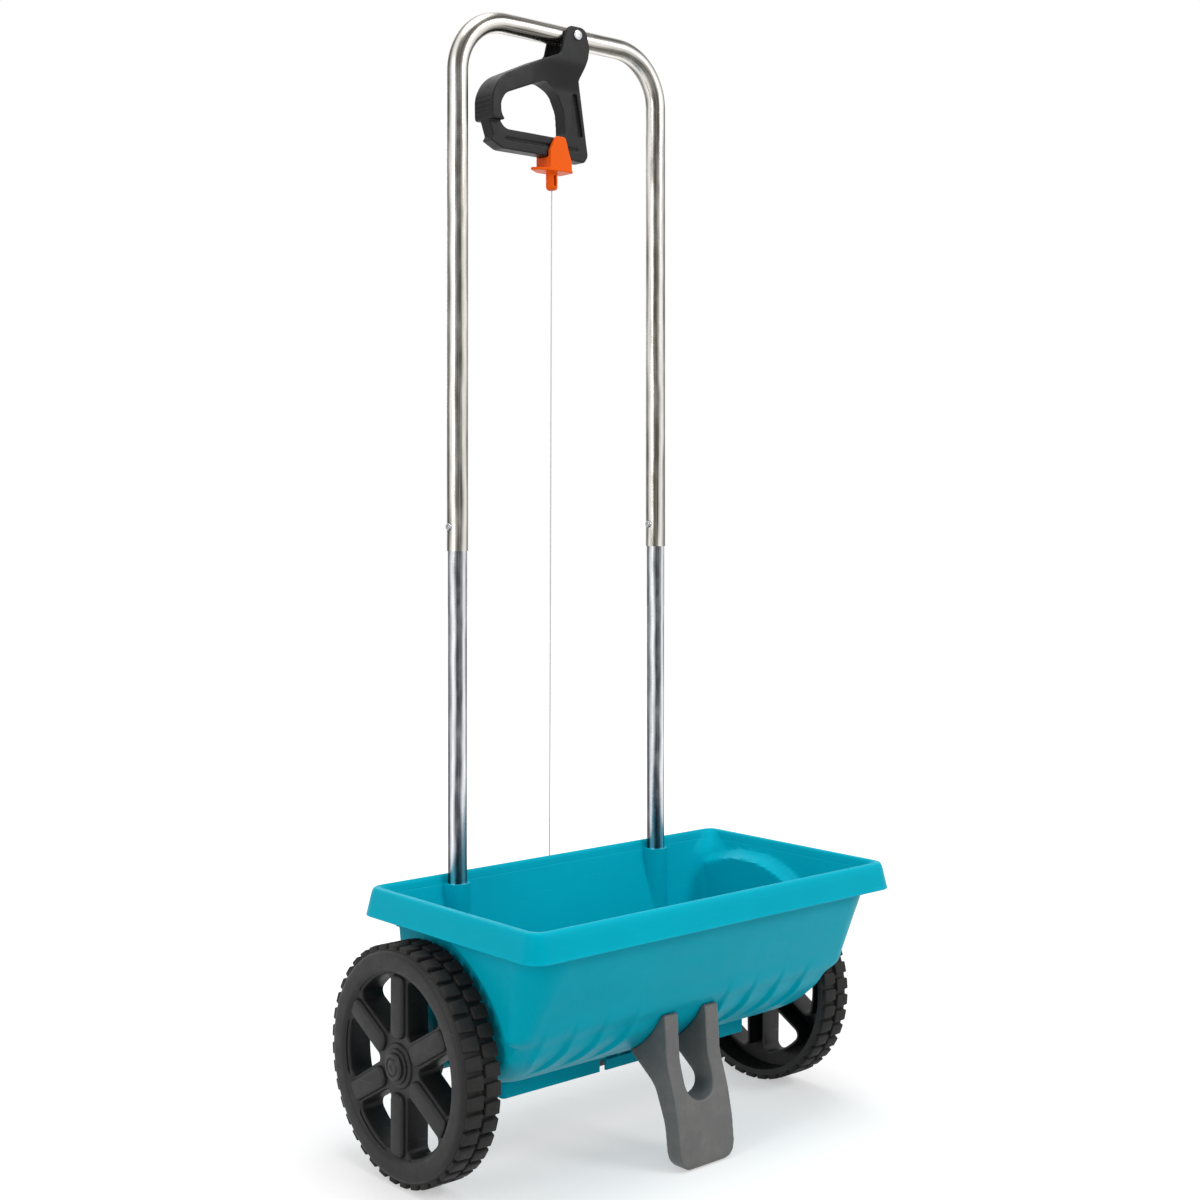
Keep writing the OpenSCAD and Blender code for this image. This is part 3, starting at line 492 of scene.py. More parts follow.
def lathe(name, profile, spot, steps):
    """A profile of (radius, height) points turned round a wheel's own axis."""
    rings = [[spot((r * math.cos(a), r * math.sin(a)), h) for r, h in profile]
             for a in (2 * math.pi * k / steps for k in range(steps))]
    return loft(name, rings, loop=True)


def bake(piece):
    """Applies a piece's modifiers."""
    state = piece.evaluated_get(bpy.context.evaluated_depsgraph_get())
    mesh = bpy.data.meshes.new_from_object(state)
    old = piece.data
    piece.modifiers.clear()
    piece.data = mesh
    bpy.data.meshes.remove(old)
    return piece


def boolean(piece, other, operation="DIFFERENCE"):
    modifier = piece.modifiers.new("cut", "BOOLEAN")
    modifier.operation = operation
    modifier.solver = "MANIFOLD"
    modifier.object = other
    bake(piece)
    bpy.data.objects.remove(other)
    return piece


def cut(piece, *others):
    for other in others:
        boolean(piece, other)
    return piece


def fuse(piece, *others):
    for other in others:
        boolean(piece, other, "UNION")
    return piece


def join(piece, *others):
    """Puts several closed shells into one piece."""
    bm = bmesh.new()
    for part in (piece, *others):
        bm.from_mesh(part.data)
    bm.to_mesh(piece.data)
    bm.free()
    for other in others:
        bpy.data.objects.remove(other)
    return piece


def melt(piece, voxel, passes, keep):
    """Rounds every edge of a moulding: fine voxels, a smoothing, and a share of faces kept."""
    remesh = piece.modifiers.new("voxels", "REMESH")
    remesh.mode = "VOXEL"
    remesh.voxel_size = voxel * MM
    smooth = piece.modifiers.new("smooth", "SMOOTH")
    smooth.factor = 0.5
    smooth.iterations = passes
    thin = piece.modifiers.new("thin", "DECIMATE")
    thin.ratio = keep
    bake(piece)
    for face in piece.data.polygons:
        face.use_smooth = True
    return piece


def shade(piece, degrees):
    """Smooth faces, with sharp edges where they turn by more than that angle."""
    bm = bmesh.new()
    bm.from_mesh(piece.data)
    for face in bm.faces:
        face.smooth = True
    for edge in bm.edges:
        edge.smooth = (len(edge.link_faces) == 2
                       and edge.calc_face_angle(0) < math.radians(degrees))
    bm.to_mesh(piece.data)
    bm.free()
    return piece


def settle(piece, material, body, slot, *nodes):
    """Gives a piece its finish and its body, and hides the CAD nodes that it stands for; its slot
    is not used.
    """
    piece.data.materials.clear()
    piece.data.materials.append(material)
    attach(piece, body)
    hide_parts(*nodes)


def dress(names, material, bevel=0.3):
    """Carried-over CAD nodes: flat faces merged, edges broken, and their own finish."""
    for name in names:
        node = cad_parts[name]
        node.data.materials.clear()
        node.data.materials.append(material)
        weld = node.modifiers.new("weld", "WELD")
        weld.merge_threshold = 0.00001
        thin = node.modifiers.new("merge", "DECIMATE")
        thin.decimate_type = "DISSOLVE"
        thin.angle_limit = math.radians(1)
        if bevel:
            edge = node.modifiers.new("edges", "BEVEL")
            edge.width = bevel * MM
            edge.segments = 2
            edge.limit_method = "ANGLE"
            edge.angle_limit = math.radians(30)
            edge.harden_normals = True
        normal = node.modifiers.new("normals", "WEIGHTED_NORMAL")
        normal.keep_sharp = True


# ---------------------------------------------------------------- sizes, in millimetres

AXLE_Y, AXLE_Z = -67.0, 115.0
RIM_Z, FLOOR_Z, LAND_Z = 272.0, 81.0, 77.0
HALF_LEN, RIM_BACK, RIM_FRONT = 242.5, 14.0, -253.0
SKIRT, FLARE, RIM_CORNER = 28.0, 6.0, 14.0
WALL = 3.0
TUBE_X = 140.0
BAR_Z = 1161.8
JOINT_Z = 605.9
WHEEL_IN, WHEEL_W, WHEEL_R = 222.9, 42.0, 115.0
ARCH_X, ARCH_R = 215.5, 131.0
SOCKET_R, SOCKET_TOP, SOCKET_Z, SWELL_Z = 13.4, 263.0, 185.0, 178.0
APRON_Z = 73.3
HOLES, HOLE_PITCH, HOLE_R = 22, 13.0, 2.8
CRANK_X, CRANK_Z = -40.0, 112.0
BEND_R = 60.0
BUTTON_Z, BUTTON_HOLE_R = JOINT_Z + 25, 4.1


# ---------------------------------------------------------------- hopper

# Drop below the rim, then how far side, front and back lie inside it, and corner radius
LEVELS = [(0, 4.5, 3.5, 3, 14), (28, 9, 6.5, 9, 38), (60, 12, 20, 16, 32),
          (92, 15, 36, 23, 22), (112, 16, 46, 28, 18), (124, 23.5, 56, 31, 20),
          (139, 25.5, 66.4, 34, 22), (161, 32, 90.7, 40, 26), (177, 54.5, 123.1, 48, 30),
          (191, 72.5, 162, 60, 20)]


def smooth_table(rows):
    """A function of the first column that runs smoothly through the others' rows."""
    xs = [row[0] for row in rows]
    columns = []
    for k in range(1, len(rows[0])):
        ys = [row[k] for row in rows]
        steps = [(b - a) / (d - c) for a, b, c, d in zip(ys, ys[1:], xs, xs[1:])]
        inner = [0 if a * b <= 0 else 2 * a * b / (a + b) for a, b in zip(steps, steps[1:])]
        columns.append((ys, [steps[0], *inner, steps[-1]]))

    def value(x):
        i = sum(1 for v in xs[1:-1] if v <= x)
        span = xs[i + 1] - xs[i]
        t = (x - xs[i]) / span
        return [(1 + 2 * t) * (1 - t) ** 2 * ys[i] + t * (1 - t) ** 2 * span * slopes[i]
                + t * t * (3 - 2 * t) * ys[i + 1] + t * t * (t - 1) * span * slopes[i + 1]
                for ys, slopes in columns]
    return value


body_at = smooth_table(LEVELS)


def body_plan(z, inward):
    """Half length, front, back and corner radius of the body's wall at height z."""
    side, front, back, radius = body_at(RIM_Z - z)
    return [HALF_LEN - side - inward, RIM_FRONT + front + inward, RIM_BACK - back - inward,
            radius - inward]


def rim_plan(inward):
    return [HALF_LEN - inward, RIM_FRONT + inward, RIM_BACK - inward, RIM_CORNER - inward]


def shifted(plan, outward):
    """The same plan, that much larger all round."""
    return [plan[0] + outward, plan[1] - outward, plan[2] + outward, plan[3] + outward]


# Columns of points round the hopper: the front's run from -1 to 1, the sides' from 0 to 1,
# and the back's are in X and stay put up to STEADY_HALF
FRONT_COLUMNS = [2 * k / 260 - 1 for k in range(261)]
SIDE_COLUMNS = [k / 104 for k in range(105)]
CORNER_STEPS = 12
STEADY_HALF, FLAT_HALF = 158.0, 180.0


def back_columns():
    half = [k * 8.0 for k in range(16)]
    half += [TUBE_X - SOCKET_R * math.cos(math.pi * k / 12) for k in range(13)]
    half += [TUBE_X - SOCKET_R - 0.02, TUBE_X + SOCKET_R + 0.02]
    half = sorted(half + [STEADY_HALF, 163, 168, 174, FLAT_HALF])
    return [-x for x in reversed(half) if x > 0] + half


BACK_COLUMNS = back_columns()


def back_x(column, half):
    """X of a column of the back wall, whose flat part reaches to half on either side."""
    if half < FLAT_HALF:
        return column * half / FLAT_HALF
    past = abs(column) - STEADY_HALF
    if past <= 0:
        return column
    return math.copysign(STEADY_HALF + past * (half - STEADY_HALF) / (FLAT_HALF - STEADY_HALF),
                         column)


def ring(plan, z, shape=None):
    """A rounded rectangle at height z, from the left end of the front."""
    hx, front, back, radius = plan
    points = [((hx - radius) * u, front, "front") for u in FRONT_COLUMNS]

    def corner(cx, cy, start):
        for k in range(1, CORNER_STEPS):
            a = math.radians(start + 90 * k / CORNER_STEPS)
            points.append((cx + radius * math.cos(a), cy + radius * math.sin(a), "corner"))

    corner(hx - radius, front + radius, -90)
    ends = (front + radius, back - radius)
    points += [(hx, ends[0] + (ends[1] - ends[0]) * v, "side") for v in SIDE_COLUMNS]
    corner(hx - radius, back - radius, 0)
    points += [(back_x(c, hx - radius), back, "back") for c in reversed(BACK_COLUMNS)]
    corner(-hx + radius, back - radius, 90)
    points += [(-hx, ends[1] + (ends[0] - ends[1]) * v, "side") for v in SIDE_COLUMNS]
    corner(-hx + radius, front + radius, 180)
    if shape:
        return [shape(x, y, z, part) for x, y, part in points]
    return [(x, y, z) for x, y, _ in points]


def ease(t):
    t = max(0.0, min(1.0, t))
    return t * t * (3 - 2 * t)


def inside_shape(x, y, z, part):
    """The inner wall: swollen over the wheel arches, and round the tubes' sockets."""
    if part == "back" and SWELL_Z < z <= SOCKET_TOP:
        off = abs(abs(x) - TUBE_X)
        if off <= SOCKET_R + 0.001:
            bulge = min(y, -math.sqrt(max(0, SOCKET_R ** 2 - off ** 2)))
            y += (bulge - y) * ease((z - SWELL_Z) / 6)
    if part != "back":
        limit = ARCH_X - WALL
        far = math.hypot(y - AXLE_Y, z - AXLE_Z) - (ARCH_R + WALL)
        if abs(x) > limit and far < 8:
            x = math.copysign(limit + (abs(x) - limit) * ease(far / 8), x)
    return x, y, z


FLUTE_LOW, FLUTE_BEND, FLUTE_HIGH = 108.0, 148.0, 176.0
FLUTE_RUN, FLUTE_PITCH, FLUTE_FIRST, FLUTE_DEPTH = 30.0, 39.0, 43.5, 4.8


def flute_relief(x, z):
    """Folds that sweep in from the lower left and turn upwards, each steep on its left side."""
    if not FLUTE_LOW < z < FLUTE_HIGH:
        return 0.0
    bend = max(0.0, (FLUTE_BEND - z) / (FLUTE_BEND - FLUTE_LOW))
    along = x + FLUTE_RUN * bend ** 2
    if abs(along) < FLUTE_FIRST:
        return 0.0
    turn = (abs(along) - FLUTE_FIRST) / FLUTE_PITCH
    if turn > 4:
        return 0.0
    u = turn % 1 if along > 0 else -turn % 1
    steep = 0.17
    ridge = ease(u / steep) if u < steep else (1 - u) / (1 - steep)
    fade = ease((z - FLUTE_LOW) / 14) * ease((FLUTE_HIGH - z) / 44)
    return FLUTE_DEPTH * ridge * fade


def outside_shape(x, y, z, part):
    """The outer wall: folded on its lower front, and proud over the sockets behind."""
    if part == "front":
        y -= flute_relief(x, z)
    if part == "back" and SOCKET_Z - 4 <= z <= 256:
        if abs(abs(x) - TUBE_X) <= SOCKET_R + 0.001:
            y = max(y, SOCKET_R if z < 250 else 11.5)
    return x, y, z


def skirt_out(z):
    """How far the skirt stands out of the rim at height z."""
    return FLARE * (RIM_Z - 2 - z) / (SKIRT - 2)


def steps_between(a, b, step):
    count = max(1, round(abs(b - a) / step))
    return [a + (b - a) * k / count for k in range(count + 1)]


def hopper_shell():
    rings = []
    for z in [*steps_between(FLOOR_Z + WALL, 150, 3.5), *steps_between(153, 256, 2.6),
              259, 261, 262.4]:
        rings.append(ring(body_plan(z, WALL), z, inside_shape))
    rings.append(ring(shifted(body_plan(SOCKET_TOP, WALL), 0.3), SOCKET_TOP, inside_shape))
    for z in (SOCKET_TOP + 0.03, 265, 267.5, 269.5):
        rings.append(ring(body_plan(z, WALL), z))
    top = body_plan(RIM_Z, WALL)
    for out, down in ((0.15, 1.4), (0.7, 0.5), (1.8, 0.0)):
        rings.append(ring(shifted(top, out), RIM_Z - down))
    for inward, down in ((4.2, 0), (2.8, 0.35), (1.6, 1.1), (0.7, 2.2), (0.1, 3.6), (-0.6, 5.2)):
        rings.append(ring(rim_plan(inward), RIM_Z - down))
    foot = RIM_Z - SKIRT
    for z in steps_between(262, foot + 2, 4):
        rings.append(ring(rim_plan(-skirt_out(z)), z))
    for out, up in ((0, 1.0), (-0.4, 0.3), (-1.1, 0.0), (-1.9, 0.0), (-2.6, 0.5), (-3, 1.4)):
        rings.append(ring(rim_plan(-FLARE - out), foot + up))
    for z in (248, 252, 256):
        rings.append(ring(rim_plan(WALL - skirt_out(z)), z))
    rings.append(ring(body_plan(256, 0), 256))
    for z in [*steps_between(252, 182, 5), *steps_between(178, FLOOR_Z + 1, 1.7), FLOOR_Z]:
        rings.append(ring(body_plan(z, 0), z, outside_shape))
    return loft("hopper", rings)


def rod(name, a, b, radius, along, u, v, steps=48):
    """A round bar from a to b along X, Y or Z, at u and v on the other two axes."""
    spot = {"x": from_side, "y": in_front, "z": from_above}[along]
    return slab(name, circle(radius, steps, u, v), flat(a, b), spot)


def box(name, x0, x1, y0, y1, z0, z1, edge=0.0, corner=0.0):
    """A block with its upright corners rounded, and the edges of its top and foot."""
    y0, y1 = sorted((y0, y1))
    outline = rounded([(x0, y0, corner), (x1, y0, corner), (x1, y1, corner), (x0, y1, corner)])
    return slab(name, outline, soft(z0, z1, edge) if edge else flat(z0, z1), from_above)


def body_block(grow):
    """The hopper's body as a solid, for cutting what sits against it."""
    heights = steps_between(FLOOR_Z - 2, 150, 4) + steps_between(156, 250, 8)
    return loft("block", [ring(body_plan(max(z, FLOOR_Z), -grow), z) for z in heights])


def make_hopper(material):
    body = hopper_shell()
    for side in (-1, 1):
        cut(body, rod("arch", side * ARCH_X, side * 238.7, ARCH_R, "x", AXLE_Y, AXLE_Z, 128))
    low = APRON_Z
    apron = box("apron", -168, 168, -112, -92, low, FLOOR_Z + 8, 0.8, 4)
    cut(apron, box("room", -165, 165, -109, -80, low - 6, FLOOR_Z + 10))
    for side in (-1, 1):
        cut(apron, box("notch", side * 38 - 4.5, side * 38 + 4.5, -114, -107, low - 6, low + 12,
                       0, 1))
    cut(apron, box("gap", -34, 34, -114, -107, low + 11, low + 14.5))
    fuse(body, apron, box("land", -161, 161, -91, -43, LAND_Z, FLOOR_Z + 2.5, 0.6, 3))
    for x in (-150, -90, -15, 15, 90, 150):
        fuse(body, box("web", x - 1.5, x + 1.5, -110, -91.3, low + 1, FLOOR_Z + 9))
    for lug in (rod("boss", -40, 19.7, 7.6, "y", CRANK_X, CRANK_Z),
                box("rib", -53.8, -49.8, -40, 13.5, 88, 138, 0.6)):
        fuse(body, cut(lug, body_block(-1.5)))
    for side in (-1, 1):
        fuse(body, rod("bearing", side * 192, side * 216, 13, "x", AXLE_Y, AXLE_Z))
        cut(body, rod("bore", side * 190, side * 218, 8, "x", AXLE_Y, AXLE_Z),
            rod("hole", SOCKET_Z, 274, 10.15, "z", side * TUBE_X, 0))
    for i in range(HOLES):
        x = (i - (HOLES - 1) / 2) * HOLE_PITCH
        cut(body, rod("drop", LAND_Z - 5, FLOOR_Z + 5, HOLE_R, "z", x, AXLE_Y, 24))
    shade(body, 46)
    settle(body, material, "frame", "hopper_plastic", "hopper")


# ---------------------------------------------------------------- wheels

SPOKES = 6
LUGS = 40
WINDOW_R = 87.0


def window(grow=0.0):
    """One window between two spokes, round-cornered, grown by that much."""
    half_spoke = 13 - grow
    reach = WINDOW_R + grow
    half = math.pi / SPOKES - math.asin(half_spoke / reach)
    radius = 7 + grow
    return rounded([(half_spoke / math.sin(math.pi / SPOKES) + 2 - grow * 0.3, 0, 5 + grow),
                    (reach * math.cos(half), -reach * math.sin(half), radius),
                    (reach + 1.5, 0, reach),
                    (reach * math.cos(half), reach * math.sin(half), radius)], 8)


def turned(points, angle):
    c, s = math.cos(angle), math.sin(angle)
    return [(x * c - y * s, x * s + y * c) for x, y in points]


def make_wheel(side, material, *nodes):
    spot = on_wheel(side)
    w = WHEEL_W
    rim = lathe(side_word(side) + "_wheel",
                [(104.0, 1), (108.6, 1), (110.1, 2), (110.6, 3.4), (110.6, w - 5.4),
                 (110.5, w - 3.8), (110.2, w - 3.2), (109.6, w - 3.5), (109.0, w - 3.1),
                 (108.3, w - 1.8), (107.1, w - 0.7), (105.4, w - 0.1), (103.0, w),
                 (93.6, w), (91.6, w - 0.4), (90.0, w - 1.4), (88.6, w - 2.8),
                 (87.2, w - 4.1), (85.8, w - 4.8), (84.0, w - 5), (84.0, w - 9.6),
                 (88.0, w - 10.4), (104.0, w - 14)], spot, 144)
    fuse(rim, slab("plate", circle(86, 144), flat(w - 9.6, w - 5), spot))
    for i in range(SPOKES):
        angle = (i + 0.5) * 2 * math.pi / SPOKES
        fuse(rim, slab("well", turned(window(2.6), angle), flat(w - 30, w - 5.6), spot))
    fuse(rim, slab("hub", circle(22, 72), pillow(0, w - 2.8, 2.2), spot))
    for i in range(SPOKES):
        bar = rounded([(26, -10.3, 8.5), (87, -10.3, 6), (87, 10.3, 6), (26, 10.3, 8.5)], 8)
        bar = turned(bar, i * 2 * math.pi / SPOKES)
        fuse(rim, slab("bar", bar, pillow(w - 6.5, w - 1.2, 3.2, 1.3), spot))
    for i in range(SPOKES):
        shape = turned(window(), (i + 0.5) * 2 * math.pi / SPOKES)
        cut(rim, slab("window", shape, [(0, 0), (0, w - 7.4), (-0.3, w - 6.1), (-1.2, w - 5.0),
                                        (-2.4, w - 4.4), (-2.4, w + 4)], spot))
    fuse(rim, slab("step", circle(17, 64), pillow(w - 8, w - 0.6, 1.4), spot))
    cut(rim, slab("bore", circle(4.1, 40), flat(-1, w + 1), spot))
    shade(rim, 32)
    lug_half = math.pi * WHEEL_R / LUGS * 0.76
    lugs = []
    for i in range(LUGS):
        for row in (0, 1):
            angle = (i + row / 2) * 2 * math.pi / LUGS
            low = 1.8 + row * (w / 2 - 1.2)
            high = low + w / 2 - 4.2
            block = rounded([(-lug_half, low, 1.2), (lug_half, low, 1.2),
                             (lug_half * 0.84, high, 1.2), (-lug_half * 0.84, high, 1.2)], 2)

            def radial(p, h, a=angle):
                c, s = math.cos(a), math.sin(a)
                return spot((h * c - p[0] * s, h * s + p[0] * c), p[1])

            lugs.append(slab("lug", block, pillow(109, WHEEL_R - 0.05, 0.9, 0, 2), radial))
    join(rim, *[shade(lug, 50) for lug in lugs])
    settle(rim, material, "drive_axle" if side < 0 else "right_wheel", "wheel_plastic", *nodes)


def side_word(side):
    return "left" if side < 0 else "right"


# The hub cap's section: radius, and how far out of the wheel's outer face
CAP_SECTION = [(4.3, -1.3), (13, -1.3), (13.3, -0.6), (13.3, 1.0), (12.8, 2.2), (11.6, 2.9),
               (10.3, 3.1), (9.3, 2.6), (8.8, 1.8), (8.0, 1.7), (7.4, 2.4), (6.6, 3.1),
               (5.0, 3.5), (3.4, 3.4), (2.7, 2.7), (1.6, 2.4), (0.02, 2.4), (0.02, 1.5), (4.3, 1.4)]


def make_cap(side, material, *nodes):
    cap = lathe(side_word(side) + "_cap", [(r, WHEEL_W + h) for r, h in CAP_SECTION],
                on_wheel(side), 64)
    shade(cap, 40)
    settle(cap, material, "drive_axle", "cap_plastic", *nodes)


# ---------------------------------------------------------------- stand foot

FOOT_Y = RIM_FRONT + 51
FOOT_HALF, PRONG, FOOT_TOP = 37.0, 18.0, 149.0

# The foot from the side: how far behind FOOT_Y, height, and corner radius
FOOT_SIDE = [(-26, 0, 5), (-22, 40, 60), (-16, 68, 40), (-4, 104, 40), (-1, FOOT_TOP, 3),
             (12, FOOT_TOP + 2, 0), (54, FLOOR_Z + 38, 0), (50, FLOOR_Z + 23, 3), (14, 78, 30),
             (-1, 42, 60), (-6, 0, 5)]


def make_foot(material):
    side_view = rounded([(FOOT_Y + y, z, r) for y, z, r in FOOT_SIDE], 10)
    foot = slab("stand_foot_moulding", side_view, flat(-FOOT_HALF, FOOT_HALF), from_side)
    front = rounded([(-FOOT_HALF, 0, 17), (FOOT_HALF, 0, 17), (FOOT_HALF, 200, 0),
                     (-FOOT_HALF, 200, 0)], 10)
    boolean(foot, slab("outline", front, flat(FOOT_Y - 70, FOOT_Y + 100), in_front), "INTERSECT")
    half = FOOT_HALF - PRONG
    slot = rounded([(-half, 64, 18), (half, 64, 18), (half, 220, 0), (-half, 220, 0)], 12)
    depths = [(3.5, 110), (1.5, 60), (0, -10), (-1.2, -17), (-5, -24), (-9, -40)]
    cut(foot, slab("slot", slot, [(d, FOOT_Y + y) for d, y in depths], in_front))
    cut(foot, body_block(0.3))
    melt(foot, 0.9, 12, 0.5)
    settle(foot, material, "frame", "foot_plastic", "stand_foot")


# ---------------------------------------------------------------- tubes and buttons

def tangents(path):
    """The way in which a path runs at each of its points."""
    last = len(path) - 1
    return [(path[min(i + 1, last)] - path[max(i - 1, 0)]).normalized()
            for i in range(last + 1)]


def sweep(name, path, radius, bore):
    """A round tube along a path of points in one plane, with a layer laid along it."""
    path = [Vector(p) for p in path]
    across, sides, last = Vector((0, 1, 0)), 56, len(path) - 1
    others = [tangent.cross(across).normalized() for tangent in tangents(path)]
    lengths = [0.0]
    for a, b in zip(path, path[1:]):
        lengths.append(lengths[-1] + (b - a).length)

    def loop(r, k):
        return hoop(path[k], r, across, others[k], sides)

    outer = [loop(radius - 0.35, 0)] + [loop(radius, k) for k in range(last + 1)] \
        + [loop(radius - 0.35, last)]
    inner = [loop(bore, k) for k in range(last, -1, -1)]
    run_at = [0] + lengths + [lengths[-1]] + lengths[::-1]
    piece = loft(name, outer + inner, loop=True)
    layer = piece.data.uv_layers.new(name="along")
    for face in piece.data.polygons:
        places = []
        for corner in face.loop_indices:
            index = piece.data.loops[corner].vertex_index
            places.append((corner, index // sides, index % sides))
        wraps = {j for _, _, j in places} >= {0, sides - 1}
        for corner, k, j in places:
            turn = sides if wraps and j == 0 else j
            layer.data[corner].uv = (turn / sides * 2 * math.pi * radius * MM, run_at[k] * MM)
    return piece


def bar_path():
    """The push bar's middle line: up, round a bend, across, round a bend and down."""
    high, wide = BAR_Z - BEND_R, TUBE_X - BEND_R
    bend = [(BEND_R * math.cos(a), BEND_R * math.sin(a))
            for a in (math.pi / 2 * k / 30 for k in range(1, 30))]
    path = [(-TUBE_X, 0, z) for z in steps_between(JOINT_Z, high, 12)]
    path += [(-wide - out, 0, high + up) for out, up in bend]
    path += [(x, 0, BAR_Z) for x in steps_between(-wide, wide, 10)]
    path += [(wide + up, 0, high + out) for out, up in bend]
    return path + [(TUBE_X, 0, z) for z in steps_between(high, JOINT_Z, 12)]


def make_tubes(upper, lower, steel):
    bar = sweep("push_bar_tube", bar_path(), 11, 10.1)
    for x in (-TUBE_X, TUBE_X):
        cut(bar, rod("button_hole", x - 20, x - 2, BUTTON_HOLE_R, "x", 0, BUTTON_Z))
    cut(bar, rod("bolt_hole", -20, 20, 3.1, "y", BOLT_X, BAR_Z))
    shade(bar, 30)
    settle(bar, upper, "frame", "upper_tube_metal", "upper_tube")
    for side in (-1, 1):
        word, x = side_word(side), side * TUBE_X
        path = [(x, 0, z) for z in steps_between(SOCKET_Z, JOINT_Z + 60, 12)]
        tube = sweep("frame_tube_" + word, path, 10, 9.1)
        cut(tube, rod("button_hole", x - 20, x - 2, BUTTON_HOLE_R, "x", 0, BUTTON_Z))
        shade(tube, 30)
        settle(tube, lower, "frame", "lower_tube_metal", "lower_tube_" + word)
        button = lathe("snap_pin_" + word, [(0.02, -5.6), (5.3, -5.6), (5.3, -6.8), (3.9, -6.8),
                                            (3.9, -11.4), (3.7, -12.3), (3.1, -13.0), (2.1, -13.4),
                                            (0.02, -13.5)],
                       lambda p, h, x=x: (x + h, p[0], BUTTON_Z + p[1]), 48)
        shade(button, 40)
        settle(button, steel, "button_" + word, "button_steel", "snap_button_" + word)


# ---------------------------------------------------------------- lever, bolt and slider

BOLT_X = 9.5
CHEEK = [(-105.5, -59.7, 40), (-48.5, -33.2, 14), (-22.5, -22.7, 8), (-18.5, -6.7, 8),
         (-12.5, 9.3, 10), (12.5, 9.3, 10), (18, -11.7, 8), (16, -23.7, 12), (6.5, -46.7, 12),
         (7, -62, 6), (-20, -66, 3), (-60, -70, 2), (-100, -90, 2), (-99.5, -105.2, 0.8),
         (-115.5, -105.2, 3), (-116, -80.7, 30)]
LOOP = [(-30, -40, 0), (8, -40, 0), (9.5, -50, 10), (20, -114, 10), (22.5, -128, 8),
        (17, -135.7, 5), (-8, -134, 0), (-96, -134, 14), (-111.5, -126.5, 0.8),
        (-108.5, -121.5, 1), (-114, -106, 6), (-114, -90, 0), (-80, -60, 0)]
OPENING = [(-40.5, -53.7, 12), (-22, -64, 22), (-12.5, -83.7, 20), (-10, -113, 8),
           (-94, -112.5, 14), (-103.5, -98, 14), (-104, -87, 14), (-97.5, -76.7, 14)]
GROOVE = [(0, -62, 2), (6, -62, 2), (15, -108, 2), (0, -108, 2)]


def on_bolt(corners):
    """Corners given from the lever's bolt, as an outline."""
    return rounded([(x + BOLT_X, z + BAR_Z, r) for x, z, r in corners], 8)


def slim_shoulder(lever):
    """Draws the broad cheek in to the loop's own thickness where it meets the right member."""
    for vertex in lever.data.vertices:
        x, y, z = vertex.co / MM
        y -= STAND
        if abs(y) > 8:
            low = ease((BAR_Z - 28 - z) / 34) * ease((x - BOLT_X + 66) / 44)
            vertex.co.y = (STAND + math.copysign(8 + (abs(y) - 8) * (1 - low), y)) * MM


def make_lever(material):
    lever = slab("squeeze_lever", on_bolt(CHEEK), soft(-16, 16, 1.2), in_front)
    fuse(lever, slab("loop", on_bolt(LOOP), soft(-8, 8, 0.8), in_front))
    cut(lever, slab("opening", on_bolt(OPENING), [(-1.4, -17), (0, -15), (0, 15), (-1.4, 17)],
                    in_front))
    cut(lever, box("bar_gap", BOLT_X - 28, BOLT_X + 32, -13, 13, BAR_Z - 29, BAR_Z + 21, 0, 2))
    for side in (-1, 1):
        cut(lever, slab("groove", on_bolt(GROOVE), flat(side * 4, side * 20), in_front))
        cut(lever, box("line", BOLT_X - 92, BOLT_X + 8, side * 6.5, side * 12,
                       BAR_Z - 124, BAR_Z - 121))
    for k in range(7):
        z = BAR_Z - 74 - 4.6 * k
        cut(lever, box("grip", BOLT_X - 122, BOLT_X - 114.6, -13, 13, z, z + 1.7))
    cut(lever, rod("bolt_hole", -20, 20, 3.05, "y", BOLT_X, BAR_Z))
    melt(lever, 0.62, 3, 0.35)
    slim_shoulder(lever)
    settle(lever, material, "lever", "lever_plastic", "hand_lever")


def make_bolt(material):
    bolt = slab("lever_bolt_shaft", circle(3, 40, BOLT_X, BAR_Z), flat(-17, 22), in_front)
    head = slab("head", circle(5.4, 48, BOLT_X, BAR_Z),
                [(1.8, -18.65), (0.9, -18.4), (0.3, -17.9), (0, -17.2), (0, -16.1)], in_front)
    cross = rounded([(BOLT_X - 2.6, BAR_Z - 0.7, 0.3), (BOLT_X + 2.6, BAR_Z - 0.7, 0.3),
                     (BOLT_X + 2.6, BAR_Z + 0.7, 0.3), (BOLT_X - 2.6, BAR_Z + 0.7, 0.3)], 3)
    cut(head, slab("slot", cross, flat(-20, -17.4), in_front))
    fuse(bolt, head)
    shade(bolt, 35)
    settle(bolt, material, "frame", "bolt_chrome", "lever_bolt")


SPOUT_X, SPOUT_Z = -13.5, BAR_Z - 168.8


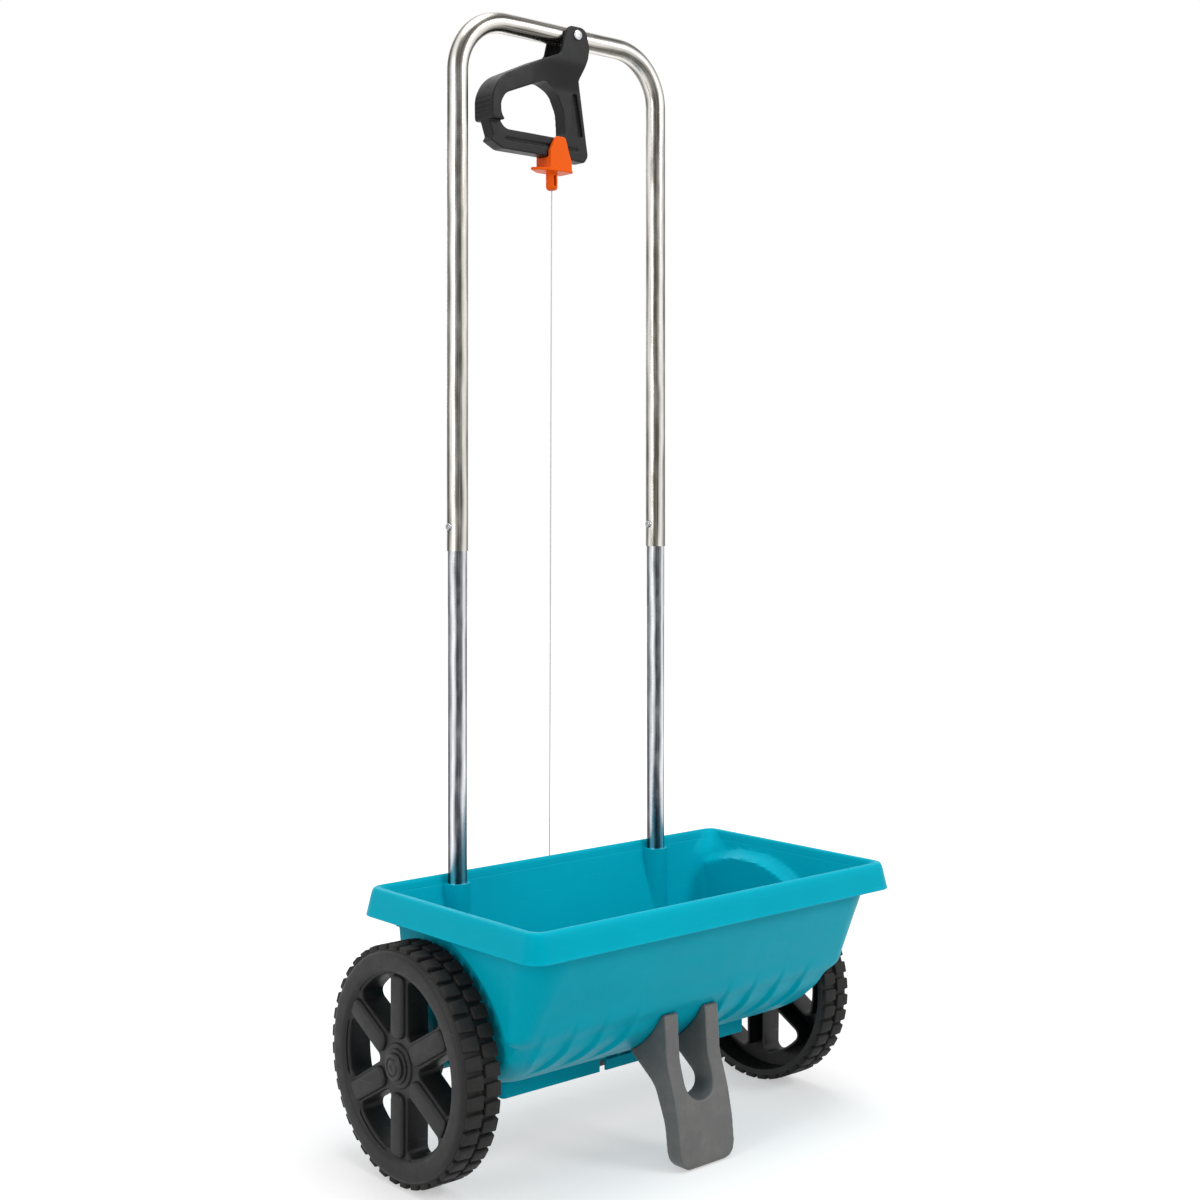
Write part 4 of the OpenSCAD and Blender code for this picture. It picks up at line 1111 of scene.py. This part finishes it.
def make_slider(material):
    saddle = rounded([(-25, -24.8, 0), (-25, -4, 3), (-17, 12, 4), (-4, 12, 4), (1, -4, 3),
                      (5, -14, 3), (5, -24.8, 0)], 8)
    saddle = [(x, z + BAR_Z - 124) for x, z in saddle]
    slider = slab("dose_thumb_slider", saddle, soft(-12.5, 12.5, 0.8), in_front)
    flange = rounded([(-41, -2, 1.5), (-25, -12.5, 3), (8, -12.5, 4), (8, 12.5, 4),
                      (-25, 12.5, 3), (-41, 2, 1.5)], 6)
    fuse(slider, slab("flange", flange, soft(BAR_Z - 149.6, BAR_Z - 146.6, 0.7), from_above))
    fuse(slider, slab("spout", circle(6.4, 48, SPOUT_X, 0),
                      [(2.4, SPOUT_Z), (0.9, SPOUT_Z + 0.9), (0.2, SPOUT_Z + 2.4),
                       (0, SPOUT_Z + 4), (0, SPOUT_Z + 23)], from_above))
    cut(slider, box("rail_room", -26, 13, -8.3, 8.3, BAR_Z - 134.3, BAR_Z - 70))
    cut(slider, rod("socket", SPOUT_Z + 2, SPOUT_Z + 30, 3.3, "z", SPOUT_X, 0))
    cut(slider, box("cord_slot", SPOUT_X - 4.4, SPOUT_X + 4.4, -1.7, 1.7, SPOUT_Z - 1, SPOUT_Z + 8))
    cut(slider, box("side_slot", SPOUT_X - 1.5, SPOUT_X + 1.5, -9, 0, SPOUT_Z + 4, SPOUT_Z + 16))
    for side in (-1, 1):
        fuse(slider, box("lip", -21, 1, side * 7, side * 8.6, BAR_Z - 123.6, BAR_Z - 121.6))
    melt(slider, 0.4, 2, 0.5)
    settle(slider, material, "dose_slider", "slider_plastic", "dose_slider")


# ---------------------------------------------------------------- cord and spring

SWIVEL_CENTRE = (SPOUT_X, 0.0, SPOUT_Z + 5.3)
SWIVEL_RADIUS = 3.0
CORD_LOW = (4.06, 25.5, 121.35)


def make_cord(material):
    """Three strands twisted into one cord, which ends where it enters the swivel's ball."""
    top, low = Vector(SWIVEL_CENTRE), Vector(CORD_LOW)
    line = top - low
    line -= line.normalized() * (SWIVEL_RADIUS + 0.05)
    across = line.cross(Vector((0, 1, 0))).normalized()
    other = line.cross(across).normalized()
    turns, steps, sides = 120, 960, 6
    strands = []
    for strand in range(3):
        rings = []
        for i in range(steps + 1):
            a = 2 * math.pi * (turns * i / steps + strand / 3)
            centre = low + line * i / steps + 0.38 * (math.cos(a) * across + math.sin(a) * other)
            rings.append(hoop(centre, 0.41, across, other, sides))
        strands.append(loft("pull_cord_strands", rings))
    cord = join(*strands)
    shade(cord, 70)
    settle(cord, material, "cord", "cord_nylon", "pull_cord")


def make_spring(material):
    radius, pitch, turns, steps, sides = 8.8, 1.4, 4.25, 136, 14
    end = 18.4
    points = []
    for i in range(steps + 1):
        turn = turns * i / steps
        a = math.pi - 2 * math.pi * turn
        points.append(Vector((CRANK_X + radius * math.cos(a), end - pitch * (turns - turn),
                              CRANK_Z + radius * math.sin(a))))
    first, last = points[0], points[-1]
    points = [first - Vector((0, 0, down)) for down in (22, 12, 4)] + points
    points += [last + Vector((out, 0, 0)) for out in (4, 14, 24)]
    rings = []
    for p, tangent in zip(points, tangents(points)):
        across = Vector((0, 1, 0)).cross(tangent).normalized()
        rings.append(hoop(p, 0.6, across, tangent.cross(across), sides))
    spring = loft("return_spring_wire", rings)
    shade(spring, 50)
    settle(spring, material, "frame", "spring_steel", "return_spring")


# ---------------------------------------------------------------- the scene

make_camera()
make_studio()
make_floor()

black = moulded("black_plastic", (0.045, 0.045, 0.05), 0.5)
screw_steel = metal("screw_steel", (0.62, 0.63, 0.65), 0.3)
spring_steel = metal("spring_steel", (0.55, 0.56, 0.58), 0.28)
axle_steel = metal("axle_steel", (0.58, 0.59, 0.61), 0.32, (60, 700, 700))
chrome = metal("bolt_chrome", (0.62, 0.62, 0.64), 0.2)
wheel_centre = at_stand(0, AXLE_Y, AXLE_Z)
wheel = wheel_plastic("wheel_plastic", (0.0105, 0.0102, 0.01), tuple(wheel_centre),
                      face_radius=0.1085)
cap = moulded("cap_plastic", (0.014, 0.014, 0.014), 0.36, grain_depth=0.00002,
              Specular_IOR_Level=0.35)

make_hopper(moulded("hopper_plastic", (0.0, 0.4, 0.53), 0.42, grain=1500,
                    grain_depth=0.00003, mottle=0.035, Specular_IOR_Level=0.12,
                    Specular_Tint=(0.1, 0.85, 1.0, 1.0)))
make_wheel(-1, wheel, "wheel_left")
make_wheel(1, wheel, "wheel_right")
make_cap(-1, cap, "hub_cap_left")
make_cap(1, cap, "hub_cap_right")
make_foot(moulded("foot_plastic", (0.13, 0.128, 0.126), 0.46, grain=900, grain_depth=0.00006,
                  dust=0.18))
# Each tube's first colour is its painted bright reflection band, the second its painted dark band
make_tubes(tube_metal("upper_tube_metal", 0.011, (0.8, 0.77, 0.72), (0.085, 0.078, 0.068), 1.3),
           tube_metal("lower_tube_metal", 0.01, (0.72, 0.73, 0.76), (0.05, 0.052, 0.06), 1.6),
           metal("button_steel", (0.34, 0.34, 0.35), 0.26))
make_lever(moulded("lever_plastic", (0.009, 0.009, 0.01), 0.42, Specular_IOR_Level=0.2))
make_bolt(chrome)
make_slider(moulded("slider_plastic", (0.9, 0.11, 0.004), 0.36, grain_depth=0.00002, mottle=0.03,
                    Specular_IOR_Level=0.2, Specular_Tint=(1.0, 0.6, 0.25, 1.0)))
make_cord(braid("cord_nylon", (0.74, 0.74, 0.73)))
make_spring(spring_steel)

dress(["shutter"], moulded("shutter_plastic", (0.78, 0.79, 0.8), 0.42, grain_depth=0.00003))
dress(["shutter_rail_front", "shutter_rail_back", "bell_crank"], black)
dress(["feed_roller"], black, 0.4)
dress(["lever_spacers"], black, 0.2)
dress(["rail_screws", "foot_screws", "socket_screws", "axle_washers", "crank_screw"],
      screw_steel, 0.25)
dress(["snap_spring_left", "snap_spring_right", "cord_link"], spring_steel, 0.15)
dress(["cord_swivel"], spring_steel, 0)
dress(["axle", "drive_pin"], axle_steel)
dress(["axle_bushes"], moulded("bush_plastic", (0.82, 0.82, 0.79), 0.45))
dress(["lever_nut"], chrome)
